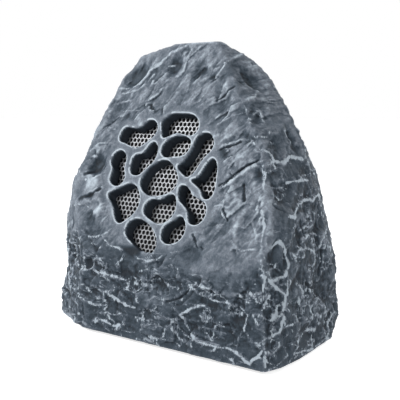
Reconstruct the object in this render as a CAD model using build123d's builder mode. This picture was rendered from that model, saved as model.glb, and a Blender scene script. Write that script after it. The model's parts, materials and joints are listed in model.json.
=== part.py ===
# Portable outdoor bluetooth speaker in the shape of a boulder.
#
# A hollow cast shell with thirteen pebble-shaped openings stands on a screwed base plate. Behind the openings are a
# perforated steel grille, an acoustic cloth, a baffle and one full-range driver. The battery and the amplifier board
# stand on the base plate, and a recessed control panel with four buttons and a covered charge socket is in the back.
#
# Frame: millimetres, +Z up, origin on the floor under the middle of the rock, front of the rock towards -Y.

from build123d import *

import os
from math import asin, ceil, cos, degrees, radians, sin, sqrt, tan

# ------------------------------------------------------------------ rock
rock_width = 296.0
rock_depth = 200.0
rock_height = 294.0  # top of the rock above the floor
foot_standoff = 2.5  # gap between the floor and the rock's rim
rock_wall = 7.0
edge_round = 5.0  # rounding of the cast edges
hollow_margin = 0.6  # how far a hollow's tool starts outside the surface
face_tilt = 19.0  # how far the front leans back, in degrees
back_tilt = 12.0

# ------------------------------------------------------------------ base
rim_wall = 4.0  # wall below the ledge that the base plate closes against
ledge_height = 11.0  # underside of the ledge above the floor
base_gasket_thickness = 1.5
base_plate_thickness = 4.0
base_gasket_width = 5.0
plate_clearance = 0.4
post_radius = 5.5
post_height = 26.0
post_inset = 22.0  # base screw posts from the rock's sides
front_post_span = 180.0
back_post_span = 116.0
foot_radius = 11.0
foot_stem_radius = 3.0
foot_stem_proud = 2.5  # the bead that keeps a foot's stem in the plate
foot_bead = 0.8
foot_bead_taper = 20.0  # degrees
foot_chamfer = 1.0
front_foot_span = 208.0
back_foot_span = 168.0
foot_inset = 48.0

# ------------------------------------------------------------------ grille and baffle
grille_x = -6.0
grille_z = 157.0  # middle of the grille above the floor
grille_size = 158.0
grille_corner = 20.0
grille_thickness = 1.0
grille_pitch = 6.5
grille_hole = 5.3  # across the flats of a hexagonal hole
seat_height = 4.0  # frame behind the wall that the grille rests on
seat_width = 4.0
seat_overhang = 4.0
cloth_thickness = 0.6
cloth_margin = 11.0
baffle_thickness = 6.0
baffle_screw_span = 136.0
baffle_boss_radius = 5.0

# ------------------------------------------------------------------ driver
driver_radius = 65.0
driver_cutout = 56.0
driver_gasket_thickness = 1.5
driver_screw_circle = 60.8
flange_thickness = 2.5
basket_depth = 30.0
basket_wall = 2.0
basket_rear_radius = 38.0
basket_window_count = 4
basket_window_width = 44.0
basket_window_height = 17.0
basket_window_rise = 4.0  # above the basket's rear plate
basket_window_gap = 1.0  # from the spider's edge to a window
cone_radius = 47.0
cone_depth = 20.0
cone_thickness = 0.8
surround_roll = 4.0
surround_lip = 2.6
surround_thickness = 0.8
dust_cap_radius = 18.0
dust_cap_height = 6.0
coil_inner_radius = 12.8
coil_outer_radius = 13.6
coil_length = 20.0
coil_rise = 2.0  # how far the coil former stands in front of the cone's neck
gap_clearance = 0.6
spider_radius = 31.0
spider_landing_height = 3.5
spider_landing_width = 3.0
spider_thickness = 0.6
top_plate_radius = 36.0
top_plate_thickness = 5.0
magnet_radius = 44.0
magnet_bore = 21.0
magnet_thickness = 15.0
yoke_radius = 40.0
yoke_thickness = 5.0
terminal_width = 26.0
terminal_reach = 12.0
terminal_thickness = 1.6
tab_width = 4.8
tab_reach = 8.0

# ------------------------------------------------------------------ control panel
panel_x = 0.0
panel_z = 95.0
panel_width = 104.0
panel_height = 58.0
panel_corner = 8.0
panel_thickness = 3.0
panel_recess = 3.0  # how far the panel lies below the rock's surface
panel_gasket_thickness = 1.0
panel_ledge = 8.0
panel_ledge_thickness = 5.0
panel_pad_margin = 5.0
panel_clearance = 0.4
panel_screw_inset = 5.5
panel_boss_radius = 4.0
panel_boss_height = 6.0
button_radius = 6.0
button_pitch = 19.0
button_row_y = 8.0
button_proud = 1.5
button_travel = 1.2
button_flange = 1.0
button_flange_thickness = 1.0
button_clearance = 0.2
button_edge_round = 0.9
plunger_radius = 1.5
plunger_reach = 0.5  # how far the plunger stands in its switch at rest
plunger_clearance = 0.3
switch_size = 6.0
switch_height = 3.5
control_board_width = 84.0
control_board_height = 38.0
board_thickness = 1.6
board_corner = 2.0
control_board_gap = 8.0  # from the panel's back to the board
control_post_radius = 3.0
control_post_inset = 4.0
ribbon_x = 26.0
ribbon_y = -8.0
ribbon_connector_height = 2.5
lower_row_y = -12.0
port_cover_x = 14.0
port_cover_width = 40.0
port_cover_height = 13.0
port_cover_thickness = 1.8
port_cover_clearance = 0.25
port_hinge_radius = 1.2
port_hinge_height = 0.6  # hinge axis above the cover's underside
port_hinge_relief = 1.0  # room beside the hinge for the cover to swing past upright
port_pin_radius = 0.55
port_pin_length = 1.5
port_pin_clearance = 0.1
port_tab = 1.0
plug_clearance = 0.4
socket_x = 22.0
socket_mouth_width = 8.34
socket_mouth_height = 2.56
socket_wall = 0.35
socket_tongue_width = 6.7
socket_tongue_thickness = 0.7
socket_clearance = 0.35
socket_depth = 6.2
lens_x = -28.5
lens_radius = 2.5
lens_flange = 1.2
led_size = 3.2
led_height = 1.4

# ------------------------------------------------------------------ electronics on the base plate
board_x = -52.0
board_y = 4.0
board_width = 92.0
board_length = 66.0
board_post_radius = 3.5
board_post_height = 8.0
board_post_inset = 5.0
module_width = 16.0
module_length = 22.0
module_height = 2.6
module_offset = (-24.0, 14.0)  # from the middle of the board
heatsink_width = 30.0
heatsink_length = 24.0
heatsink_base = 3.0
heatsink_height = 16.0
heatsink_fins = 5
heatsink_fin = 1.6
heatsink_offset = (8.0, -12.0)
capacitor_radius = 5.0
capacitor_height = 14.0
capacitor_gap = 3.0
capacitor_offset = (-24.0, -16.0)
connector_width = 10.0
connector_length = 6.0
connector_height = 6.5
connector_inset = 9.0  # from the back edge of the board
speaker_port_offset = 2.0
control_port_offset = 26.0
battery_port_inset = 12.0
battery_x = 52.0
battery_y = 2.0
cell_radius = 9.2
cell_length = 65.0
cell_count = 3
cell_gap = 1.0
cradle_floor = 3.0
cradle_wall = 3.0
cradle_height = 10.0
strap_width = 16.0
strap_thickness = 1.6
strap_foot = 10.0
lead_radius = 1.5
ribbon_width = 12.0
ribbon_thickness = 0.5
ribbon_plug_margin = 1.0  # of a ribbon's plug beside the ribbon

# ------------------------------------------------------------------ fasteners and fits
large_screw_head = (4.0, 2.4)  # radius, height
large_screw_shank = 1.75
small_screw_head = (2.8, 1.6)
small_screw_shank = 1.25
screw_clearance = 0.35  # around a shank in the piece that it clamps
thread_clearance = 0.05  # around a shank in the boss that it bites
pilot_skin = 3.5  # wall left in front of a blind pilot hole
thread_end = 1.0  # room past the tip of a screw
cut_overrun = 1.0  # how far a through cut runs past the wall
weld = 0.5  # how far a boss runs into the wall that carries it
mating_gap = 0.1

# ------------------------------------------------------------------ the boulder's facets
left, right = -rock_width / 2, rock_width / 2
front, back = -rock_depth / 2, rock_depth / 2
brow = (0, front + 7, 88)  # a point on the leaning front face
back_knee = (0, back, 60)

# Each facet: the compass of its normal (0 front, 90 right, 180 back), its tilt above the horizon, a point on it.
facets = {
    "front": (0, face_tilt, brow),
    "front_toe": (0, 5, (0, front, 12)),
    "right_corner": (75, 6.5, (right - 5, front, foot_standoff)),
    "right": (97, 6, (right, front + 50, foot_standoff + 8)),
    "right_middle": (80, 23, (right - 21, front + 30, 149)),
    "right_brow": (65, 40, (right - 92, front + 59, rock_height - 35)),
    "right_rear_middle": (118, 14.5, (right - 16, 29, 99)),
    "right_rear_upper": (125, 27.5, (right - 17.5, 45, 128.5)),
    "right_rear": (135, 2.5, (right - 17, 47, 45)),
    "right_rear_undercut": (135, -30, (right - 12, 27, foot_standoff)),
    "left_corner": (-27, 4, (-90, front + 2, foot_standoff)),
    "left": (-84, 2, (left, front + 38, foot_standoff + 8)),
    "left_middle": (-76, 13, (left + 13, front + 38, 142)),
    "left_upper": (-70, 22.5, (left + 47, front + 38.5, 204)),
    "left_brow": (-62, 32, (left + 70, front + 54, rock_height - 30)),
    "left_top": (-50, 73, (-52, front + 62, rock_height - 12)),
    "right_top": (60, 70, (25, front + 66, rock_height - 2)),
    "back": (180, back_tilt, back_knee),
    "back_upper": (180, 34.5, (0, back - 29, 169)),
    "left_rear": (-135, 8, (left + 28, back - 40, 60)),
    "left_rear_upper": (-125, 28, (left + 63, back - 60, 190)),
}
# What the facets leave of the block's own upright sides.
upright_sides = {
    "left_side": (-90, 0, (left, 0, 60)),
    "back_side": (180, 0, (0, back, 30)),
}

# Hollows of the cast surface on each facet: x, or y on a facet that runs along Y, and z of the middle, the slant of
# the hollow's long axis, half its length and half its width where it meets the facet, and its depth.
hollows = {
    "front": [
        (-66, 262, 35, 20, 11, 3.0),
        (-16, 270, 70, 15, 9, 2.5),
        (20, 262, 20, 16, 8, 2.5),
        (54, 236, -55, 19, 10, 2.5),
        (-80, 226, 60, 22, 10, 2.5),
        (-95, 170, 80, 18, 10, 3.0),
        (-108, 144, 60, 17, 9, 2.5),
        (-90, 126, 20, 21, 9, 3.0),
        (-84, 102, 10, 27, 11, 3.0),
        (78, 195, 35, 24, 12, 2.5),
        (96, 160, -60, 19, 11, 2.5),
        (108, 126, 80, 19, 10, 2.5),
        (79, 122, 30, 20, 12, 2.0),
        (56, 92, -35, 19, 10, 2.5),
        (-24, 88, 5, 34, 10, 2.5),
    ],
    "front_toe": [
        (24, 62, 10, 28, 12, 3.0),
        (78, 62, -20, 26, 12, 3.5),
        (112, 50, 75, 20, 10, 3.0),
        (-66, 68, -5, 25, 9, 2.5),
        (-18, 60, -12, 24, 9, 2.5),
        (-72, 40, 10, 22, 9, 3.0),
        (-42, 34, -10, 26, 11, 3.0),
        (4, 30, 15, 25, 10, 3.0),
        (48, 28, -15, 24, 9, 3.0),
        (92, 26, 10, 24, 9, 3.0),
    ],
    "left_corner": [
        (-120, 118, 50, 18, 9, 2.5),
        (-118, 72, 65, 18, 10, 3.0),
        (-122, 32, -20, 18, 9, 2.5),
    ],
    "right_corner": [
        (-86, 52, 70, 18, 9, 3.0),
        (-84, 22, -30, 15, 8, 2.5),
        (-76, 98, 80, 20, 11, 3.5),
    ],
    "right": [
        (-34, 25, 5, 24, 10, 3.0),
        (-30, 68, -60, 21, 11, 3.0),
        (-40, 112, 40, 22, 11, 3.0),
        (4, 100, 85, 24, 12, 3.0),
        (2, 54, -25, 22, 11, 3.0),
        (18, 24, 15, 18, 9, 2.5),
        (-12, 144, 60, 20, 9, 2.5),
    ],
    "right_middle": [
        (-46, 152, 30, 22, 12, 3.5),
        (-40, 190, 60, 20, 10, 3.0),
        (-14, 200, -70, 18, 9, 3.0),
    ],
    "right_brow": [
        (-34, 226, 60, 18, 9, 2.5),
        (-15, 256, -65, 18, 9, 2.5),
    ],
    "right_rear_middle": [
        (38, 116, -60, 24, 12, 3.0),
        (50, 146, 20, 24, 10, 3.0),
        (16, 170, 60, 20, 10, 2.5),
    ],
    "right_rear_upper": [
        (36, 184, -40, 24, 11, 3.0),
        (14, 216, 70, 22, 11, 3.0),
    ],
    "right_rear": [
        (66, 78, 85, 25, 12, 3.0),
        (76, 42, -25, 22, 10, 3.0),
    ],
    "left": [
        (-56, 84, 78, 23, 9, 2.5),
    ],
    "left_side": [
        (-28, 62, 70, 23, 12, 3.0),
        (8, 94, -55, 23, 12, 3.0),
        (-8, 28, -12, 26, 10, 3.0),
        (22, 54, 80, 20, 10, 3.0),
    ],
    "left_upper": [
        (-48, 140, -60, 22, 12, 3.5),
        (-22, 158, 60, 22, 11, 3.0),
        (-40, 198, 70, 22, 11, 3.0),
        (-34, 238, -80, 18, 8, 2.5),
    ],
    "left_rear": [
        (62, 58, 80, 26, 12, 3.0),
        (50, 112, -75, 24, 12, 3.0),
        (80, 100, 65, 22, 10, 3.0),
        (78, 28, -20, 22, 10, 3.0),
    ],
    "left_rear_upper": [
        (38, 146, 60, 25, 12, 3.0),
        (8, 172, -65, 26, 13, 3.0),
        (38, 192, 70, 24, 12, 3.0),
        (0, 226, 60, 24, 12, 3.0),
        (-10, 260, -60, 18, 9, 2.5),
    ],
    "back": [
        (-74, 122, 80, 22, 10, 3.0),
        (80, 108, -80, 24, 11, 3.0),
        (4, 145, 5, 32, 9, 3.0),
        (-46, 145, -20, 20, 8, 2.5),
        (54, 146, 20, 20, 8, 2.5),
    ],
    "back_side": [
        (-54, 34, 10, 26, 11, 3.0),
        (0, 30, -8, 26, 10, 3.0),
        (50, 36, 12, 22, 10, 3.0),
    ],
    "back_upper": [
        (-46, 188, 30, 28, 14, 3.5),
        (12, 196, -20, 30, 14, 3.5),
        (54, 184, 50, 20, 10, 3.0),
        (-22, 232, -30, 26, 12, 3.0),
        (22, 244, 40, 22, 11, 3.0),
        (-2, 272, 5, 20, 9, 2.5),
    ],
}

# Openings of the grille: points of a closed smooth outline, right and up from the grille's middle.
openings = {
    "crescent": [(-64, 47), (-56, 56), (-45, 55), (-35, 60), (-27, 64), (-18, 61), (-15, 53), (-24, 42), (-37, 35),
                 (-55, 39)],
    "lintel": [(-10, 57), (-9, 66), (-3, 70), (11, 71), (26, 70), (34, 65), (37, 58), (34, 51), (22, 50), (7, 50),
               (-5, 46)],
    "brow": [(-4, 34), (-1, 41), (8, 47), (25, 47), (31, 43), (31, 36), (25, 29), (13, 27), (1, 27)],
    "club": [(22, 19), (30, 28), (35, 39), (38, 48), (48, 52), (57, 47), (59, 38), (53, 30), (47, 21), (42, 12),
             (36, 8), (29, 11)],
    "arrow": [(43, 6), (51, 12), (56, 22), (62, 27), (68, 21), (70, 10), (71, -1), (67, -11), (60, -11), (54, -3)],
    "slot": [(-66, 14), (-68, 24), (-62, 30), (-53, 29), (-48, 22), (-48, 12), (-45, 2), (-49, -5), (-58, -6),
             (-65, 0)],
    "boot": [(-40, 21), (-36, 27), (-28, 29), (-22, 36), (-16, 41), (-10, 37), (-8, 30), (-11, 21), (-18, 14),
             (-26, 7), (-36, 7)],
    "heart": [(-22, 2), (-17, 12), (-7, 20), (5, 23), (14, 19), (21, 12), (25, 3), (23, -4), (15, -10), (4, -13),
              (-12, -12)],
    "wedge": [(-61, -14), (-53, -10), (-44, -6), (-34, -3), (-24, -8), (-18, -19), (-20, -30), (-29, -39),
              (-40, -44), (-47, -38), (-52, -29)],
    "saddle": [(-10, -28), (-8, -21), (-2, -17), (7, -17), (16, -12), (24, -11), (29, -18), (28, -30), (22, -37),
               (12, -40), (-1, -36)],
    "pear": [(29, -8), (31, -1), (38, -2), (46, -9), (56, -13), (65, -19), (66, -28), (57, -37), (49, -35),
             (45, -26), (36, -18)],
    "drop": [(-28, -50), (-25, -42), (-15, -38), (-2, -41), (9, -49), (15, -59), (12, -69), (3, -71), (-9, -66),
             (-21, -59)],
    "bean": [(19, -50), (21, -42), (29, -36), (38, -31), (45, -37), (46, -47), (40, -55), (31, -58), (22, -56)],
}


def facet_plane(name, inset=0):
    """The plane of a facet moved inset into the rock, its x level and its z pointing out of the rock."""
    compass, tilt, point = {**facets, **upright_sides}[name]
    a, t = radians(compass), radians(tilt)
    normal = Vector(sin(a) * cos(t), -cos(a) * cos(t), sin(t))
    return Plane(origin=Vector(*point) - normal * inset, x_dir=(cos(a), sin(a), 0), z_dir=normal)


def on_facet(name, along, height):
    """The facet's plane with its origin moved to a height, and to x, or to y on a facet that runs along Y."""
    surface = facet_plane(name)
    normal = surface.z_dir
    reach = normal.dot(surface.origin) - normal.Z * height
    if abs(normal.X) < abs(normal.Y):
        place = Vector(along, (reach - normal.X * along) / normal.Y, height)
    else:
        place = Vector((reach - normal.Y * along) / normal.X, along, height)
    return Plane(origin=place, x_dir=surface.x_dir, z_dir=normal)


def hollow_tool(seat, slant, half_length, half_width, depth):
    """The body that a smooth, long hollow takes away from the seat plane: a shallow arc swung along a longer one."""
    long_radius = (half_length**2 + depth**2) / (2 * depth)
    short_radius = (half_width**2 + depth**2) / (2 * depth)
    top = long_radius - depth - hollow_margin
    swing = asin(half_length / long_radius) * (1 + hollow_margin / depth)
    lengthwise = seat.x_dir * cos(radians(slant)) + seat.y_dir * sin(radians(slant))
    crosswise = seat.y_dir * cos(radians(slant)) - seat.x_dir * sin(radians(slant))
    middle = seat.origin + seat.z_dir * (long_radius - depth)
    inward = -seat.z_dir * cos(swing) - lengthwise * sin(swing)
    with BuildPart() as tool:
        with BuildSketch(Plane(origin=middle, x_dir=inward, z_dir=inward.cross(crosswise))):
            with Locations((long_radius - short_radius, 0)):
                Circle(short_radius)
            with Locations((top, 0)):
                Rectangle(long_radius, 4 * half_width, align=(Align.MIN, Align.CENTER), mode=Mode.INTERSECT)
        revolve(axis=Axis(middle, crosswise), revolution_arc=-2 * degrees(swing))
    return tool.part


def boulder(inset, floor):
    """The rock's faceted block with every facet moved in by inset, and its flat underside at the height floor."""
    with BuildPart(Plane.XY.offset(floor)) as block:
        Box(
            rock_width - 2 * inset,
            rock_depth - 2 * inset,
            rock_height - inset - floor,
            align=(Align.CENTER, Align.CENTER, Align.MIN),
        )
        for name in facets:
            split(bisect_by=facet_plane(name, inset), keep=Keep.BOTTOM)
    return block.part


def base_outline(inset, height):
    """The rock's outline at inset from its surface, clear at the rim and at the ledge alike, laid at a height."""
    at_rim = boulder(inset, foot_standoff).faces().sort_by(Axis.Z)[0]
    at_ledge = boulder(inset, ledge_height).faces().sort_by(Axis.Z)[0]
    lowered = at_ledge.moved(Location((0, 0, foot_standoff - ledge_height)))
    common = (at_rim & lowered).faces()[0]
    return common.moved(Location((0, 0, height - foot_standoff)))


def screws(seat, spots, head, shank, length):
    """A group of screws whose heads stand on the seat plane and whose shanks go down its -z."""
    with BuildPart() as group:
        with BuildSketch(seat):
            with Locations(*spots):
                Circle(head[0])
        extrude(amount=head[1])
        with BuildSketch(seat):
            with Locations(*spots):
                Circle(shank)
        extrude(amount=-length)
    return group.part


def ring(inner, outer, depth_from, depth_to):
    """A plain turned ring about the driver's axis between two depths below the front face."""
    with BuildPart() as turned:
        with BuildSketch(face.offset(-depth_from)):
            Circle(outer)
            if inner > 0:
                Circle(inner, mode=Mode.SUBTRACT)
        extrude(amount=depth_from - depth_to)
    return turned.part


def round_lead(points, bend_radii):
    """A round two-core lead along straight runs that are joined by arcs."""
    with BuildPart() as lead:
        with BuildLine() as route:
            FilletPolyline(*points, radius=bend_radii)
        with BuildSketch(Plane(origin=route.line @ 0, z_dir=route.line % 0)):
            Circle(lead_radius)
        sweep(path=route.line)
    return lead.part


def facing_back(plane):
    """The same plane with its z turned round."""
    return Plane(origin=plane.origin, x_dir=plane.x_dir, z_dir=-plane.z_dir)


def four_corners(span_x, span_y, middle=(0, 0)):
    """The corners of a rectangle about its middle."""
    return [(middle[0] + i * span_x / 2, middle[1] + j * span_y / 2) for i in (-1, 1) for j in (-1, 1)]


# ------------------------------------------------------------------ planes that the pieces are placed by
face_y = brow[1] + (grille_z - brow[2]) * tan(radians(face_tilt))
face = Plane(
    origin=(grille_x, face_y, grille_z),
    x_dir=(1, 0, 0),
    z_dir=(0, -cos(radians(face_tilt)), sin(radians(face_tilt))),
)
panel_y = back_knee[1] - (panel_z - back_knee[2]) * tan(radians(back_tilt))
rear = Plane(
    origin=(panel_x, panel_y, panel_z),
    x_dir=(-1, 0, 0),
    z_dir=(0, cos(radians(back_tilt)), sin(radians(back_tilt))),
)

# Depths below the front face, each where the next piece starts.
grille_front = rock_wall + seat_height
cloth_front = grille_front + grille_thickness
baffle_front = cloth_front + cloth_thickness
gasket_front = baffle_front + baffle_thickness
flange_front = gasket_front + driver_gasket_thickness
rear_plate_front = flange_front + basket_depth
top_plate_front = rear_plate_front + flange_thickness
magnet_front = top_plate_front + top_plate_thickness
yoke_front = magnet_front + magnet_thickness
yoke_back = yoke_front + yoke_thickness

# Depths below the rock's surface at the back.
panel_front = panel_recess
panel_back = panel_front + panel_thickness
ledge_front = panel_back + panel_gasket_thickness
ledge_back = ledge_front + panel_ledge_thickness
control_board_front = panel_back + control_board_gap
control_board_back = control_board_front + board_thickness

# Heights above the floor.
plate_top = ledge_height - base_gasket_thickness
plate_bottom = plate_top - base_plate_thickness
main_board_bottom = plate_top + board_post_height
main_board_top = main_board_bottom + board_thickness
connector_top = main_board_top + connector_height

# ------------------------------------------------------------------ where the fasteners and controls are
baffle_screw_spots = four_corners(baffle_screw_span, baffle_screw_span)
driver_screw_spots = four_corners(driver_screw_circle * sqrt(2), driver_screw_circle * sqrt(2))
panel_screw_spots = four_corners(panel_width - 2 * panel_screw_inset, panel_height - 2 * panel_screw_inset)
control_post_spots = four_corners(
    control_board_width - 2 * control_post_inset, control_board_height - 2 * control_post_inset
)
board_post_spots = four_corners(
    board_width - 2 * board_post_inset, board_length - 2 * board_post_inset, (board_x, board_y)
)
# Each base screw post with the compass of its web, 0 to the right and 90 to the back.
posts = [
    (-front_post_span / 2, front + post_inset, -90),
    (front_post_span / 2, front + post_inset, -90),
    (left + post_inset, 0, 180),
    (right - post_inset, 0, 0),
    (-back_post_span / 2, back - post_inset, 90),
    (back_post_span / 2, back - post_inset, 90),
]
post_spots = [(x, y) for x, y, _ in posts]
foot_spots = [
    (-front_foot_span / 2, front + foot_inset),
    (front_foot_span / 2, front + foot_inset),
    (-back_foot_span / 2, back - foot_inset),
    (back_foot_span / 2, back - foot_inset),
]
button_spots = {
    "power_button": (-1.5 * button_pitch, button_row_y),
    "pair_button": (-0.5 * button_pitch, button_row_y),
    "volume_down_button": (0.5 * button_pitch, button_row_y),
    "volume_up_button": (1.5 * button_pitch, button_row_y),
}
connector_y = board_y + board_length / 2 - connector_inset
speaker_port = (board_x + speaker_port_offset, connector_y)
control_port = (board_x + control_port_offset, connector_y)
battery_port = (board_x + board_width / 2 - battery_port_inset, board_y)
strap_inner = (cell_count * (2 * cell_radius + cell_gap)) / 2 + cradle_wall + mating_gap
strap_screw_x = strap_inner + strap_thickness + strap_foot / 2
strap_screw_spots = [(battery_x - strap_screw_x, battery_y), (battery_x + strap_screw_x, battery_y)]

# ------------------------------------------------------------------ rock shell
rock_core = boulder(edge_round, foot_standoff + edge_round)
cavity = boulder(rock_wall, ledge_height)
inside_wall = boulder(rock_wall - weld, ledge_height)
hollow_tools = [
    hollow_tool(on_facet(name, along, height), *shape)
    for name, places in hollows.items()
    for along, height, *shape in places
]

# What stands on the inside of the wall, before it is trimmed to the wall.
with BuildPart() as inner_bosses:
    # screw posts of the base plate, each with a web that runs out to the wall
    for post_x, post_y, heading in posts:
        with BuildSketch(Plane.XY.offset(ledge_height)):
            with Locations(Location((post_x, post_y), heading)):
                Circle(post_radius)
                Rectangle(2 * post_inset, post_radius, align=(Align.MIN, Align.CENTER))
        extrude(amount=post_height)
    # frame and screw bosses that the grille and the baffle are clamped to
    with BuildSketch(face.offset(-grille_front)):
        RectangleRounded(grille_size + 2 * seat_width, grille_size + 2 * seat_width, grille_corner + seat_width)
        RectangleRounded(
            grille_size - 2 * seat_overhang,
            grille_size - 2 * seat_overhang,
            grille_corner - seat_overhang,
            mode=Mode.SUBTRACT,
        )
        with Locations(*baffle_screw_spots):
            Circle(baffle_boss_radius)
    extrude(amount=seat_height + rock_wall)
    # pad and screw bosses around the control panel
    with BuildSketch(rear.offset(-ledge_back)):
        RectangleRounded(
            panel_width + 2 * panel_pad_margin, panel_height + 2 * panel_pad_margin, panel_corner + panel_pad_margin
        )
    extrude(amount=ledge_back)
    with BuildSketch(rear.offset(-ledge_back - panel_boss_height)):
        with Locations(*panel_screw_spots):
            Circle(panel_boss_radius)
    extrude(amount=panel_boss_height)
    add(inside_wall, mode=Mode.INTERSECT)

with BuildPart() as rock_shell:
    add(rock_core)
    offset(amount=edge_round, kind=Kind.ARC)
    add(hollow_tools, mode=Mode.SUBTRACT)
    add(cavity, mode=Mode.SUBTRACT)
    extrude(base_outline(rim_wall, 0), amount=ledge_height, dir=(0, 0, 1), mode=Mode.SUBTRACT)
    add(inner_bosses.part)
    # openings of the grille
    for outline in openings.values():
        with BuildSketch(face.offset(edge_round)):
            with BuildLine():
                Spline(*outline, periodic=True)
            make_face()
        extrude(amount=-edge_round - grille_front, mode=Mode.SUBTRACT)
    # recess, ledge and opening of the control panel
    with BuildSketch(rear.offset(edge_round)):
        RectangleRounded(panel_width, panel_height, panel_corner)
    extrude(amount=-edge_round - ledge_front, mode=Mode.SUBTRACT)
    with BuildSketch(rear):
        RectangleRounded(panel_width - 2 * panel_ledge, panel_height - 2 * panel_ledge, panel_corner / 2)
    extrude(amount=-ledge_back - cut_overrun, mode=Mode.SUBTRACT)
    # pilot holes
    with BuildSketch(face.offset(-grille_front)):
        with Locations(*baffle_screw_spots):
            Circle(large_screw_shank + thread_clearance)
    extrude(amount=grille_front - pilot_skin, mode=Mode.SUBTRACT)
    with BuildSketch(rear.offset(-ledge_front)):
        with Locations(*panel_screw_spots):
            Circle(small_screw_shank + thread_clearance)
    extrude(amount=-panel_ledge_thickness - panel_boss_height, mode=Mode.SUBTRACT)
    with BuildSketch(Plane.XY.offset(ledge_height)):
        with Locations(*post_spots):
            Circle(large_screw_shank + thread_clearance)
    extrude(amount=post_height - pilot_skin, mode=Mode.SUBTRACT)

# ------------------------------------------------------------------ base plate, its gasket, feet and screws
with BuildPart() as base_plate:
    extrude(base_outline(rim_wall + plate_clearance, plate_bottom), amount=base_plate_thickness, dir=(0, 0, 1))
    # standoffs of the amplifier board
    with BuildSketch(Plane.XY.offset(plate_top)):
        with Locations(*board_post_spots):
            Circle(board_post_radius)
    extrude(amount=board_post_height)
    with BuildSketch(Plane.XY.offset(main_board_bottom)):
        with Locations(*board_post_spots):
            Circle(small_screw_shank + thread_clearance)
    extrude(amount=-board_post_height, mode=Mode.SUBTRACT)
    # holes of the feet, of the battery strap and of the counterbored base screws
    with Locations(*[(x, y, plate_top) for x, y in foot_spots]):
        Hole(foot_stem_radius, depth=base_plate_thickness)
    with Locations(*[(x, y, plate_top) for x, y in strap_screw_spots]):
        Hole(small_screw_shank + thread_clearance, depth=base_plate_thickness)
    with Locations(*[Location((x, y, plate_bottom), (180, 0, 0)) for x, y in post_spots]):
        CounterBoreHole(
            large_screw_shank + screw_clearance,
            large_screw_head[0] + screw_clearance,
            large_screw_head[1],
            depth=base_plate_thickness,
        )

with BuildPart() as base_gasket:
    extrude(base_outline(rim_wall + plate_clearance, plate_top), amount=base_gasket_thickness, dir=(0, 0, 1))
    extrude(
        base_outline(rim_wall + plate_clearance + base_gasket_width, plate_top),
        amount=base_gasket_thickness,
        dir=(0, 0, 1),
        mode=Mode.SUBTRACT,
    )
    # eyes under the screw posts
    with BuildSketch(Plane.XY.offset(plate_top)):
        for post_x, post_y, heading in posts:
            with Locations(Location((post_x, post_y), heading)):
                Circle(post_radius)
                Rectangle(post_inset / 2, post_radius, align=(Align.MIN, Align.CENTER))
    extrude(amount=base_gasket_thickness)
    with BuildSketch(Plane.XY.offset(plate_top)):
        with Locations(*post_spots):
            Circle(large_screw_shank + screw_clearance)
    extrude(amount=base_gasket_thickness, mode=Mode.SUBTRACT)

with BuildPart() as rubber_feet:
    with BuildSketch(Plane.XY):
        with Locations(*foot_spots):
            Circle(foot_radius)
    extrude(amount=plate_bottom)
    chamfer(rubber_feet.faces().sort_by(Axis.Z)[0:4].edges(), foot_chamfer)
    with BuildSketch(Plane.XY.offset(plate_bottom)):
        with Locations(*foot_spots):
            Circle(foot_stem_radius)
    extrude(amount=base_plate_thickness)
    with BuildSketch(Plane.XY.offset(plate_top)):
        with Locations(*foot_spots):
            Circle(foot_stem_radius + foot_bead)
    extrude(amount=foot_stem_proud, taper=foot_bead_taper)

base_screws = screws(
    facing_back(Plane.XY.offset(plate_bottom + large_screw_head[1])),
    [(x, -y) for x, y in post_spots],
    large_screw_head,
    large_screw_shank,
    ledge_height + post_height - pilot_skin - thread_end - plate_bottom - large_screw_head[1],
)

# ------------------------------------------------------------------ grille, cloth and baffle
opening_faces = []
for outline in openings.values():
    with BuildSketch() as opening:
        with BuildLine():
            Spline(*outline, periodic=True)
        make_face()
    opening_faces.append((opening.sketch.bounding_box(), opening.sketch.faces()[0]))


def behind_opening(spot):
    """Whether a point of the grille lies behind one of the openings."""
    return any(
        box.min.X < spot.X < box.max.X and box.min.Y < spot.Y < box.max.Y and opening_face.is_inside(spot)
        for box, opening_face in opening_faces
    )


row_pitch = grille_pitch * sqrt(3) / 2
row_count = ceil(grille_size / 2 / row_pitch)
column_count = ceil(grille_size / 2 / grille_pitch)
lattice = [
    Vector((column + row % 2 / 2) * grille_pitch, row * row_pitch)
    for row in range(-row_count, row_count + 1)
    for column in range(-column_count, column_count + 1)
]
hole_spots = [spot for spot in lattice if behind_opening(spot)]

with BuildPart() as speaker_grille:
    with BuildSketch(face.offset(-grille_front)):
        RectangleRounded(grille_size, grille_size, grille_corner)
        with Locations(*hole_spots):
            RegularPolygon(grille_hole / 2, 6, major_radius=False, rotation=30, mode=Mode.SUBTRACT)
        with Locations(*baffle_screw_spots):
            Circle(large_screw_shank + screw_clearance, mode=Mode.SUBTRACT)
    extrude(amount=-grille_thickness)

with BuildPart() as grille_cloth:
    with BuildSketch(face.offset(-cloth_front)):
        RectangleRounded(grille_size, grille_size, grille_corner)
        with Locations(*baffle_screw_spots):
            Circle(large_screw_shank + screw_clearance, mode=Mode.SUBTRACT)
    extrude(amount=-cloth_thickness)

with BuildPart() as baffle:
    with BuildSketch(face.offset(-baffle_front)):
        RectangleRounded(grille_size, grille_size, grille_corner)
        Circle(driver_cutout, mode=Mode.SUBTRACT)
        with Locations(*baffle_screw_spots):
            Circle(large_screw_shank + screw_clearance, mode=Mode.SUBTRACT)
    extrude(amount=-baffle_thickness)
    with BuildSketch(face.offset(-gasket_front)):
        with Locations(*driver_screw_spots):
            Circle(small_screw_shank + thread_clearance)
    extrude(amount=baffle_thickness - thread_end, mode=Mode.SUBTRACT)

baffle_screws = screws(
    facing_back(face.offset(-gasket_front)),
    baffle_screw_spots,
    large_screw_head,
    large_screw_shank,
    gasket_front - pilot_skin - thread_end,
)

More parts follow.
